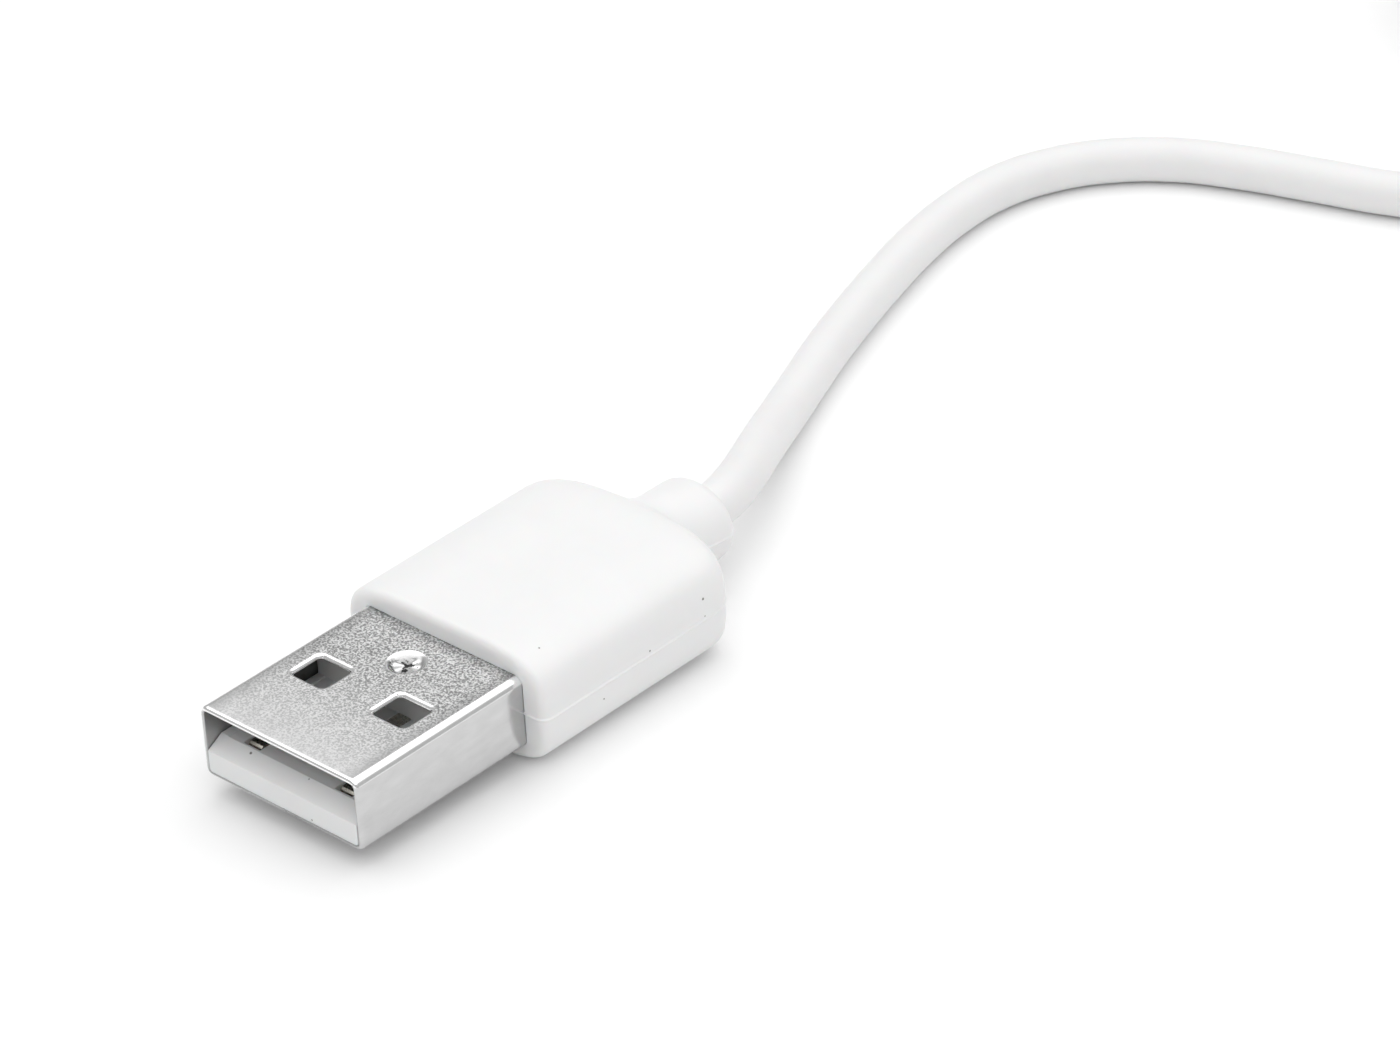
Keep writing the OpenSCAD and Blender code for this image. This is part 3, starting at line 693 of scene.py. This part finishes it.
def shell_finish(name, colour, low, high, junction_y, stake):
    """Tumbled sheet steel: salt and pepper grain on the flats, a top painted lighter than the
    sides, painted highlights on the bends and painted shade inside.
    """
    material, tree, shader, place = new_material(name)
    axes = split_axes(tree, place)
    surface = use_group(tree, shared("grain", grain_group), place, Scale=7500.0)
    on_top = map_range(tree, axes["Z"], high.z - 0.012 * MM, high.z - LEVEL)
    tree.links.new(map_range(tree, on_top, 0.0, 1.0, 0.06, 0.5), surface.inputs["Depth"])
    away = distance_to(tree, place, stake)

    pepper = peppered_top(tree, axes, surface.outputs["Value"], colour, low, high, junction_y)
    # the top's grain tones lie mostly above the steel's, so the top is painted lighter than the
    # sides
    tone = mix_colour(tree, on_top, colour, pepper)
    # painted highlight on the front lip, the upper bends and the window rims
    painted_gleam = highlight_share(tree, axes, on_top, away, low, high)
    tone = mix_colour(tree, painted_gleam, tone, times(colour, SHEEN_TONE))

    # faint brushing on the sides
    streak_place = add_node(tree, "ShaderNodeMapping", Scale=(1.0, 0.35, 1.0))
    tree.links.new(place, streak_place.inputs["Vector"])
    streaks = scaled_noise(tree, streak_place.outputs["Vector"], 1500.0, 4.0, 0.6)
    faint = map_range(tree, streaks, NOISE_LOW, NOISE_HIGH, 0.94, 1.05)
    tone = scaled_colour(tree, tone, faint)

    # painted shade on the inner side, darker the deeper it lies
    inside = inside_share(tree, axes, low, high)
    depth = map_range(tree, axes["Y"], low.y + 1.0 * MM, low.y + 4.0 * MM)
    inner_shade = mix_colour(tree, depth, times(colour, SHADE_AT_MOUTH), times(colour, SHADE_DEEP))
    tone = mix_colour(tree, inside, tone, inner_shade)

    tone = staked_tone(tree, axes, place, away, tone, colour, stake)
    tree.links.new(tone, shader.inputs["Base Color"])
    tree.links.new(surface.outputs["Normal"], shader.inputs["Normal"])
    rough = map_range(tree, on_top, 0.0, 1.0, 0.16, 0.34)
    rough = maths(tree, "ADD", rough, maths(tree, "MULTIPLY", inside, 0.25))
    tree.links.new(rough, shader.inputs["Roughness"])
    shader.inputs["Metallic"].default_value = 1.0
    return material


def weave_group():
    """Two crossed sets of fine bands: a value."""
    group, entry, leave = new_group(
        "Crossed bands",
        [("Scale", "NodeSocketFloat", 1000.0)],
        [("Value", "NodeSocketFloat")],
    )
    bands = []
    for turn in (45.0, -45.0):
        turned = add_node(group, "ShaderNodeMapping", Rotation=(0.0, 0.0, math.radians(turn)))
        group.links.new(entry.outputs["Vector"], turned.inputs["Vector"])
        wave = add_node(group, "ShaderNodeTexWave", Distortion=0.0)
        group.links.new(turned.outputs["Vector"], wave.inputs["Vector"])
        group.links.new(entry.outputs["Scale"], wave.inputs["Scale"])
        bands.append(wave.outputs["Fac"])
    group.links.new(maths(group, "MAXIMUM", *bands), leave.inputs["Value"])
    return group


def woven_finish(name, low, high, scale, metal, roughness):
    """Crossed strands: dark gaps, bright tops and the bump of the weave."""
    material, tree, shader, place = new_material(name)
    weave = use_group(tree, shared("weave", weave_group), place, Scale=scale)
    tone = mix_colour(tree, weave.outputs["Value"], low, high)
    fuzz = scaled_noise(tree, place, 6000.0, 3.0, 0.6)
    shade = map_range(tree, fuzz, NOISE_LOW, NOISE_HIGH, 0.85, 1.1)
    tree.links.new(scaled_colour(tree, tone, shade), shader.inputs["Base Color"])
    add_bump(tree, shader, weave.outputs["Value"], 0.6, 0.05 * MM)
    vary_roughness(tree, shader, fuzz, roughness, 0.06)
    shader.inputs["Metallic"].default_value = metal
    return material


def brushed_loops(name, colour):
    """The brushed loops of a hook and loop strap."""
    return woven_finish(name, times(colour, 0.75), list(colour), 900.0, 0.0, 0.85)


def braid_finish(name):
    """Tinned copper wires in a braid."""
    return woven_finish(name, (0.2, 0.19, 0.18), (0.68, 0.67, 0.66), 1600.0, 1.0, 0.4)


def strand_finish(name):
    """Twisted bare copper strands."""
    return woven_finish(name, (0.4, 0.2, 0.12), (0.8, 0.48, 0.32), 2400.0, 1.0, 0.35)


def board_finish(name):
    """Green solder mask over faint copper tracks."""
    material, tree, shader, place = new_material(name)
    tracks = add_node(tree, "ShaderNodeTexVoronoi", {"distance": "CHEBYCHEV"}, Scale=900.0)
    tree.links.new(place, tracks.inputs["Vector"])
    edge = map_range(tree, tracks.outputs["Distance"], 0.3, 0.34)
    tone = mix_colour(tree, edge, (0.02, 0.14, 0.07), (0.03, 0.22, 0.1))
    tree.links.new(tone, shader.inputs["Base Color"])
    add_bump(tree, shader, edge, 0.4, 0.02 * MM)
    shader.inputs["Roughness"].default_value = 0.35
    return material


# --- cable ---

# Knots of the curve in each turn of the hank, and how much of the last turn is left out, so that it
# ends as soon as it has come back to the left run.
KNOTS_PER_TURN = 32
LEFT_OUT = 0.42


def hank_points(sizes):
    """The turns of the hank, anticlockwise from above: in, out and in again, layer by layer."""
    pitch = sizes.diameter
    laps = sizes.turns_wide * sizes.layers
    places = []
    for layer in range(sizes.layers):
        order = range(sizes.turns_wide)
        if layer % 2 == 0:
            order = reversed(order)
        for turn in order:
            places.append((sizes.inner_radius + turn * pitch, (layer + 0.5) * pitch))
    points = []
    for step in range(round((laps - LEFT_OUT) * KNOTS_PER_TURN)):
        lap, part = divmod(step, KNOTS_PER_TURN)
        share = part / KNOTS_PER_TURN
        # each turn moves over to the next a little earlier, so that the crossings don't pile up
        window = (laps - 2 - lap) / (laps - 1)
        ease = min(1.0, max(0.0, (share - window) * (laps - 1)))
        ease = (1 - math.cos(math.pi * ease)) / 2
        following = min(lap + 1, laps - 1)
        radius = places[lap][0] + ease * (places[following][0] - places[lap][0])
        height = places[lap][1] + ease * (places[following][1] - places[lap][1])
        points.append(Vector(sizes.hank_place) + hank_point(share, radius, height, sizes.hank_run))
    return points


def hank_point(share, radius, height, run):
    """A point at a share of one turn: right run, far end, left run, near end."""
    bend = math.pi * radius
    way = share * (2 * run + 2 * bend)
    if way < run:
        return Vector((radius, way, height))
    way -= run
    if way < bend:
        angle = way / radius
        return Vector((radius * math.cos(angle), run + radius * math.sin(angle), height))
    way -= bend
    if way < run:
        return Vector((-radius, run - way, height))
    angle = (way - run) / radius
    return Vector((-radius * math.cos(angle), -radius * math.sin(angle), height))


def smooth_curve(name, points, radius):
    """A round tube along one smooth open spline."""
    curve = bpy.data.curves.new(name, "CURVE")
    curve.dimensions = "3D"
    curve.bevel_depth = radius
    curve.bevel_resolution = 8
    curve.resolution_u = 5
    curve.use_fill_caps = True
    spline = curve.splines.new("BEZIER")
    spline.bezier_points.add(len(points) - 1)
    for knot, point in zip(spline.bezier_points, points):
        knot.co = point
        knot.handle_left_type = "AUTO"
        knot.handle_right_type = "AUTO"
    piece = bpy.data.objects.new(name, curve)
    bpy.context.scene.collection.objects.link(piece)
    return piece


class BuildCable(bpy.types.Operator):
    """Lays the cable from the collar over the surface, round its hank and into the far plug."""

    bl_idname = "cable_plug.build_cable"
    bl_label = "Cable"

    def execute(self, context):
        sizes = context.scene.cable_plug_cable
        finishes = context.scene.cable_plug_finishes
        points = [Vector(point) * MM for point in LEAD_ROUTE]
        points += hank_points(sizes)
        points += [Vector(point) * MM for point in TAIL_ROUTE]
        cable = smooth_curve("cable", points, sizes.diameter / 2)
        white = finishes.jacket_white
        jacket = moulded_finish("Satin jacket", white, 0.42, grain=2600.0, depth=0.08)
        stand_for(cable, "white_jacket", jacket, "cable_lead", "cable_hank", "cable_tail")
        strap = rounded_copy("hank_tie", "tie_strap", 0.08 * MM, 40.0, 40.0)
        brushed = brushed_loops("Brushed strap", finishes.strap_grey)
        stand_for(strap, "tie_strap", brushed, "hank_tie")
        finish_nodes(jacket, "jacket_end")
        return {"FINISHED"}


# --- overmoulds ---


def raise_parting_ridge(piece, height, is_skin, width, rise):
    """Raises the fine ridge that the mould's two halves leave round a piece, at that height."""
    edit_mesh(
        piece,
        bpy.ops.mesh.tris_convert_to_quads,
        everything=True,
        face_threshold=math.radians(40),
        shape_threshold=math.radians(60),
    )
    edit_mesh(
        piece,
        bpy.ops.mesh.bisect,
        everything=True,
        plane_co=(0, 0, height),
        plane_no=(0, 0, 1),
        threshold=MERGE_DISTANCE,
    )

    def on_skin(ends, reach):
        return all(abs(point.z - height) < reach and is_skin(point) for point in ends)

    def on_ring(ends, sharpness):
        return on_skin(ends, LEVEL)

    select_edges(piece, on_ring)
    bevel_selected(piece, width / 2, 2)
    select_edges(piece, on_ring)
    edit_mesh(piece, bpy.ops.transform.shrink_fatten, value=rise)

    def beside_ring(ends, sharpness):
        return abs(ends[0].z - ends[1].z) < LEVEL and on_skin(ends, 0.6 * width)

    select_edges(piece, beside_ring)
    edit_mesh(piece, bpy.ops.mesh.mark_sharp)


def open_junction(piece, face_y, radius):
    """Rounds the rim that a moulded piece forms round its shell."""

    def on_rim(ends, sharpness):
        level = all(abs(point.y - face_y) < LEVEL for point in ends)
        return level and sharpness > math.radians(60)

    select_edges(piece, on_rim)
    bevel_selected(piece, radius, 2)


def skin_test(centre_x, face_y, way, half_w, hole, straight_l):
    """A test for points on an overmould's outer skin, away from its bores and its inner walls."""

    def on_skin(point):
        across = abs(point.x - centre_x)
        behind = way * (point.y - face_y)
        if behind < 0.01 * MM:
            return across > hole
        if behind < straight_l:
            return across > half_w - 0.6 * MM
        return across > 2.2 * MM

    return on_skin


# Dark specks of dirt on the grip: place and radius.
GRIP_SPECKS = (
    ((5.74 * MM, -2.4 * MM, 6.71 * MM), 0.07 * MM),
    ((7.5 * MM, 4.23 * MM, 3.75 * MM), 0.08 * MM),
    ((7.5 * MM, 0.48 * MM, 2.59 * MM), 0.07 * MM),
    ((7.46 * MM, 8.65 * MM, 4.84 * MM), 0.1 * MM),
    ((7.5 * MM, 8.68 * MM, 3.72 * MM), 0.06 * MM),
)


# Each overmould: its node, its piece and its finish, the way in which it runs along Y from its face
# with the shell, half the width of that face's hole, its straight sides' length, and its specks.
OVERMOULDS = (
    ("overmould", "moulded_grip", "Satin white overmould", 1, 5.9 * MM, 13 * MM, GRIP_SPECKS),
    ("far_overmould", "moulded_far_grip", "Satin white far overmould", -1, 4 * MM, 12 * MM, ()),
)


class BuildOvermoulds(bpy.types.Operator):
    """Makes both white overmoulds, with their parting ridge."""

    bl_idname = "cable_plug.build_overmoulds"
    bl_label = "Overmoulds"

    def execute(self, context):
        for overmould in OVERMOULDS:
            self.add_grip(context.scene, *overmould)
        return {"FINISHED"}

    def add_grip(self, scene, node_name, piece_name, finish_name, way, hole, straight_l, specks):
        """Makes one overmould."""
        sizes = scene.cable_plug_sizes
        body = merged_copy(node_name, piece_name)
        low, high = corners(node_name)
        centre_x, middle_z = (low.x + high.x) / 2, (low.z + high.z) / 2
        face_y = low.y if way > 0 else high.y
        on_skin = skin_test(centre_x, face_y, way, high.x - centre_x, hole, straight_l)
        raise_parting_ridge(body, middle_z, on_skin, sizes.ridge_width, sizes.ridge_height)
        open_junction(body, face_y, sizes.junction_gap)
        shade_smooth(body, math.radians(32.0))
        # where the parting ridge's painted highlight lies, and where it fades out
        ridge = (middle_z, face_y + way * 6 * MM, face_y + way * 15 * MM)
        colour = scene.cable_plug_finishes.moulded_white
        white = moulded_finish(finish_name, colour, 0.4, specks, ridge=ridge)
        stand_for(body, "white_overmould", white, node_name)


# --- folded shell ---


# The windows lie between these distances from the mouth and from the middle.
WINDOW_Y = (5 * MM, 7.7 * MM)
WINDOW_X = (1.5 * MM, 4.6 * MM)

# The staked dimple: how far its middle lies from the mouth, its rim's radius, its depth, and the
# ripples of its floor, each with a height as a share of the depth, a count and a turn.
STAKE_SETBACK = 9.8 * MM
STAKE_RIM = 1.2 * MM
STAKE_DEPTH = 0.28 * MM
RIPPLES = ((0.12, 3, 0.6), (0.06, 7, 0.0))


def roll_punched_edges(piece, mouth_y, top, width):
    """Rolls the upper edges of the two windows, where the punch has drawn the sheet down."""

    def in_window(point):
        in_length = WINDOW_Y[0] < point.y - mouth_y < WINDOW_Y[1]
        return in_length and WINDOW_X[0] < abs(point.x) < WINDOW_X[1]

    def on_window(ends, sharpness):
        level = all(abs(point.z - top) < 0.003 * MM for point in ends)
        return level and all(map(in_window, ends)) and sharpness > math.radians(50)

    select_edges(piece, on_window)
    bevel_selected(piece, width, 4)


def stake_crater(piece, middle, rim, floor_radius, depth):
    """Gives the pressed dimple a steep wall and an uneven floor, inside the sheet's own dimple."""
    bpy.context.tool_settings.mesh_select_mode = (False, False, True)
    mesh = piece.data
    deselect_mesh(mesh)
    lowest = middle.z - 1.2 * depth
    for polygon in mesh.polygons:
        away = (polygon.center - middle).xy.length
        polygon.select = away < rim and 0.0 < polygon.normal.z and polygon.center.z > lowest
    edit_mesh(piece, bpy.ops.mesh.subdivide, number_cuts=2)
    for vertex in mesh.vertices:
        offset = vertex.co - middle
        away = offset.xy.length
        if away > rim - 0.01 * MM or not -1.2 * depth < offset.z < -LEVEL:
            continue
        share = min(1.0, max(0.0, (rim - away) / (rim - floor_radius)))
        share = share * share * (3 - 2 * share)
        angle = math.atan2(offset.y, offset.x)
        scar = sum(height * math.sin(count * angle + turn) for height, count, turn in RIPPLES)
        floor = 1.0 + scar * min(1.0, away / floor_radius) * share
        vertex.co.z = middle.z - depth * share * min(1.0, 0.86 * floor)


class BuildShell(bpy.types.Operator):
    """Makes the folded shell with its rolled window edges and its staked dimple."""

    bl_idname = "cable_plug.build_shell"
    bl_label = "Folded shell"

    def execute(self, context):
        sizes = context.scene.cable_plug_sizes
        finishes = context.scene.cable_plug_finishes
        shell = merged_copy("shell", "folded_shell")
        low, high = corners("shell")
        join_flat_faces(shell, math.radians(1.0))
        roll_punched_edges(shell, low.y, high.z, sizes.window_roll)
        round_edges(shell, sizes.sheet_roll, math.radians(42.0))
        stake = Vector((0.0, low.y + STAKE_SETBACK, high.z))
        stake_crater(shell, stake, STAKE_RIM, sizes.crater_radius, STAKE_DEPTH)
        shade_smooth(shell, math.radians(35.0))
        junction_y = corners("overmould")[0].y
        steel = shell_finish("Tumbled steel", finishes.steel, low, high, junction_y, stake)
        stand_for(shell, "shell_steel", steel, "shell")
        return {"FINISHED"}


# --- tongue and contacts ---

# Dark specks on the tongue: place and radius.
TONGUE_SPECKS = (
    ((-3.12 * MM, -15.81 * MM, 3.37 * MM), 0.1 * MM),
    ((2.21 * MM, -16.65 * MM, 1.78 * MM), 0.07 * MM),
    ((1.19 * MM, -15.66 * MM, 3.45 * MM), 0.06 * MM),
)


class BuildTongue(bpy.types.Operator):
    """Makes the white insulator and its four plated contacts."""

    bl_idname = "cable_plug.build_tongue"
    bl_label = "Tongue and contacts"

    def execute(self, context):
        sizes = context.scene.cable_plug_sizes
        finishes = context.scene.cable_plug_finishes
        tongue = rounded_copy("insulator", "moulded_tongue", sizes.mould_radius, 25.0, 35.0)
        white = moulded_finish("Matt tongue white", finishes.tongue_white, 0.5, TONGUE_SPECKS)
        mouth_y = corners("insulator")[0].y
        # painted shade on the tongue, darker the deeper it lies inside the shell
        paint_shade_by_depth(white, mouth_y + 3.4 * MM, mouth_y + 5.4 * MM, (0.6, 0.6, 0.6))
        stand_for(tongue, "white_insulator", white, "insulator")
        gold = plain_metal("Gold plating", finishes.gold, 0.26)
        for name in ("power", "data_minus", "data_plus", "ground"):
            strip = rounded_copy("contact_" + name, "plated_contact_" + name, 0.03 * MM, 40.0, 40.0)
            stand_for(strip, "contact_gold", gold, "contact_" + name)
        return {"FINISHED"}


# --- far plug ---


class BuildFarPlug(bpy.types.Operator):
    """Makes the small oval plug at the far end."""

    bl_idname = "cable_plug.build_far_plug"
    bl_label = "Far plug"

    def execute(self, context):
        finishes = context.scene.cable_plug_finishes
        shell = rounded_copy("far_shell", "drawn_far_shell", 0.06 * MM, 50.0, 40.0, flat=0.5)
        satin = plain_metal("Satin drawn steel", finishes.steel, 0.3)
        stand_for(shell, "shell_steel", satin, "far_shell")
        insulator = rounded_copy("far_insulator", "far_moulding", 0.05 * MM, 50.0, 40.0, flat=0.5)
        black = moulded_finish("Matt black moulding", (0.03, 0.03, 0.03), 0.5)
        stand_for(insulator, "black_insulator", black, "far_insulator")
        gold = plain_metal("Fine gold plating", finishes.gold, 0.26)
        finish_nodes(gold, "far_contacts_upper", "far_contacts_lower")
        finish_nodes(board_finish("Solder mask"), "far_board")
        return {"FINISHED"}


# --- parts inside the overmould ---


class FinishInnerParts(bpy.types.Operator):
    """Finishes the covers, braid, solder and wires that the overmould hides."""

    bl_idname = "cable_plug.finish_inner_parts"
    bl_label = "Inner parts"

    def execute(self, context):
        tinned = plain_metal("Tinned steel", (0.68, 0.68, 0.69), 0.42, grain=3000.0)
        finish_nodes(tinned, "rear_cover_lower", "rear_cover_upper")
        solder = plain_metal("Bright solder", (0.74, 0.74, 0.76), 0.22, grain=1800.0, depth=0.3)
        finish_nodes(solder, "solder_joints")
        finish_nodes(braid_finish("Tinned braid"), "folded_braid")
        copper = strand_finish("Stranded copper")
        insulations = {
            "red": (0.55, 0.03, 0.03),
            "white": (0.8, 0.8, 0.79),
            "green": (0.03, 0.3, 0.1),
            "black": (0.025, 0.025, 0.025),
        }
        for name, colour in insulations.items():
            finish_nodes(copper, "core_" + name)
            smooth = moulded_finish("Smooth " + name + " insulation", colour, 0.35, grain=5000.0)
            finish_nodes(smooth, "wire_" + name)
        return {"FINISHED"}


# --- studio ---


class BuildStudio(bpy.types.Operator):
    """Sets up the camera, the floor, the even sky and the overhead softbox."""

    bl_idname = "cable_plug.build_studio"
    bl_label = "Studio"

    def execute(self, context):
        settings = context.scene.cable_plug_studio
        self.add_camera(context, settings)
        self.add_floor(settings)
        self.add_light(context, settings)
        context.scene.view_settings.view_transform = "Standard"
        return {"FINISHED"}

    def add_camera(self, context, settings):
        """The camera looks at the aim from its azimuth and elevation, rolled about its own axis."""
        azimuth, elevation = settings.view_azimuth, settings.view_elevation
        back = Vector(
            (
                math.sin(azimuth) * math.cos(elevation),
                -math.cos(azimuth) * math.cos(elevation),
                math.sin(elevation),
            )
        )
        bpy.ops.object.camera_add()
        camera = context.object
        camera.name = "Camera"
        camera.location = Vector(settings.aim) + back * settings.view_distance
        camera.rotation_euler = (math.pi / 2 - elevation, 0.0, azimuth)
        turn = camera.rotation_euler.to_matrix() @ Matrix.Rotation(settings.view_roll, 3, "Z")
        camera.rotation_euler = turn.to_euler()
        camera.data.lens = settings.lens
        camera.data.sensor_width = 36.0
        camera.data.clip_start = 0.01
        context.scene.camera = camera

    def add_floor(self, settings):
        """A pale matt floor, which is white to the camera where nothing shades it."""
        bpy.ops.mesh.primitive_plane_add(size=settings.floor_size)
        floor = bpy.context.object
        floor.name = "floor"
        floor.data.materials.append(floor_finish())

    def add_light(self, context, settings):
        """A sky that is brighter overhead, and one softbox."""
        world = bpy.data.worlds.new("Studio sky")
        world.use_nodes = True
        tree = world.node_tree
        sky = tree.nodes["Background"]
        sky.inputs["Color"].default_value = (1.0, 1.0, 1.0, 1.0)
        place = tree.nodes.new("ShaderNodeTexCoord")
        axes = split_axes(tree, place.outputs["Generated"])
        split, softness = math.sin(settings.sky_split), settings.sky_softness
        lean = maths(tree, "MULTIPLY", axes["X"], settings.sky_lean)
        up = maths(tree, "ADD", axes["Z"], lean)
        glow = map_range(
            tree, up, split - softness, split + softness, settings.low_sky, settings.high_sky
        )
        tree.links.new(glow, sky.inputs["Strength"])
        context.scene.world = world
        bpy.ops.object.light_add(type="AREA", location=settings.lamp_place)
        lamp = context.object
        lamp.name = "Softbox"
        lamp.data.energy = settings.lamp_power
        lamp.data.size = settings.lamp_size
        direction = -Vector(settings.lamp_place)
        lamp.rotation_euler = direction.to_track_quat("-Z", "Y").to_euler()


def floor_finish():
    """White paper with a faint tooth. It glows a little to the camera and to glossy surfaces."""
    material, tree, shader, place = new_material("White paper")
    light_path = tree.nodes.new("ShaderNodeLightPath")
    rays = light_path.outputs
    seen = maths(tree, "MAXIMUM", rays["Is Camera Ray"], rays["Is Glossy Ray"])
    seen = maths(tree, "MAXIMUM", seen, rays["Is Transmission Ray"])
    tooth = scaled_noise(tree, place, 900.0, 3.0)
    shade = map_range(tree, tooth, NOISE_LOW, NOISE_HIGH, 0.992, 1.0)
    tone = mix_colour(tree, seen, (0.89, 0.89, 0.89), shade)
    tree.links.new(tone, shader.inputs["Base Color"])
    glow = maths(tree, "MULTIPLY", seen, 0.025)
    tree.links.new(glow, shader.inputs["Emission Strength"])
    shader.inputs["Emission Color"].default_value = (1.0, 1.0, 1.0, 1.0)
    shader.inputs["Roughness"].default_value = 0.9
    shader.inputs["Specular IOR Level"].default_value = 0.1
    return material


# --- panel and registration ---


class CablePlugPanel(bpy.types.Panel):
    """Lists the plug's builders in the sidebar."""

    bl_idname = "VIEW3D_PT_cable_plug"
    bl_label = "Cable plug"
    bl_space_type = "VIEW_3D"
    bl_region_type = "UI"
    bl_category = "Cable plug"

    def draw(self, context):
        for operator in OPERATORS:
            self.layout.operator(operator.bl_idname)


OPERATORS = (
    BuildStudio,
    BuildOvermoulds,
    BuildShell,
    BuildTongue,
    BuildFarPlug,
    BuildCable,
    FinishInnerParts,
)
SETTINGS = {
    "cable_plug_sizes": PlugSizes,
    "cable_plug_cable": CableSizes,
    "cable_plug_finishes": PlugFinishes,
    "cable_plug_studio": StudioSettings,
}
CLASSES = (*SETTINGS.values(), *OPERATORS, CablePlugPanel)


def register():
    """Registers the classes and their settings."""
    for item in CLASSES:
        bpy.utils.register_class(item)
    for name, group in SETTINGS.items():
        setattr(bpy.types.Scene, name, PointerProperty(type=group))


def unregister():
    """Removes the settings and the classes."""
    for name in SETTINGS:
        delattr(bpy.types.Scene, name)
    for item in reversed(CLASSES):
        bpy.utils.unregister_class(item)


def main():
    """Builds the studio and every piece."""
    register()
    bpy.ops.cable_plug.build_studio()
    bpy.ops.cable_plug.build_overmoulds()
    bpy.ops.cable_plug.build_shell()
    bpy.ops.cable_plug.build_tongue()
    bpy.ops.cable_plug.build_far_plug()
    bpy.ops.cable_plug.build_cable()
    bpy.ops.cable_plug.finish_inner_parts()


if __name__ == "__main__":
    main()
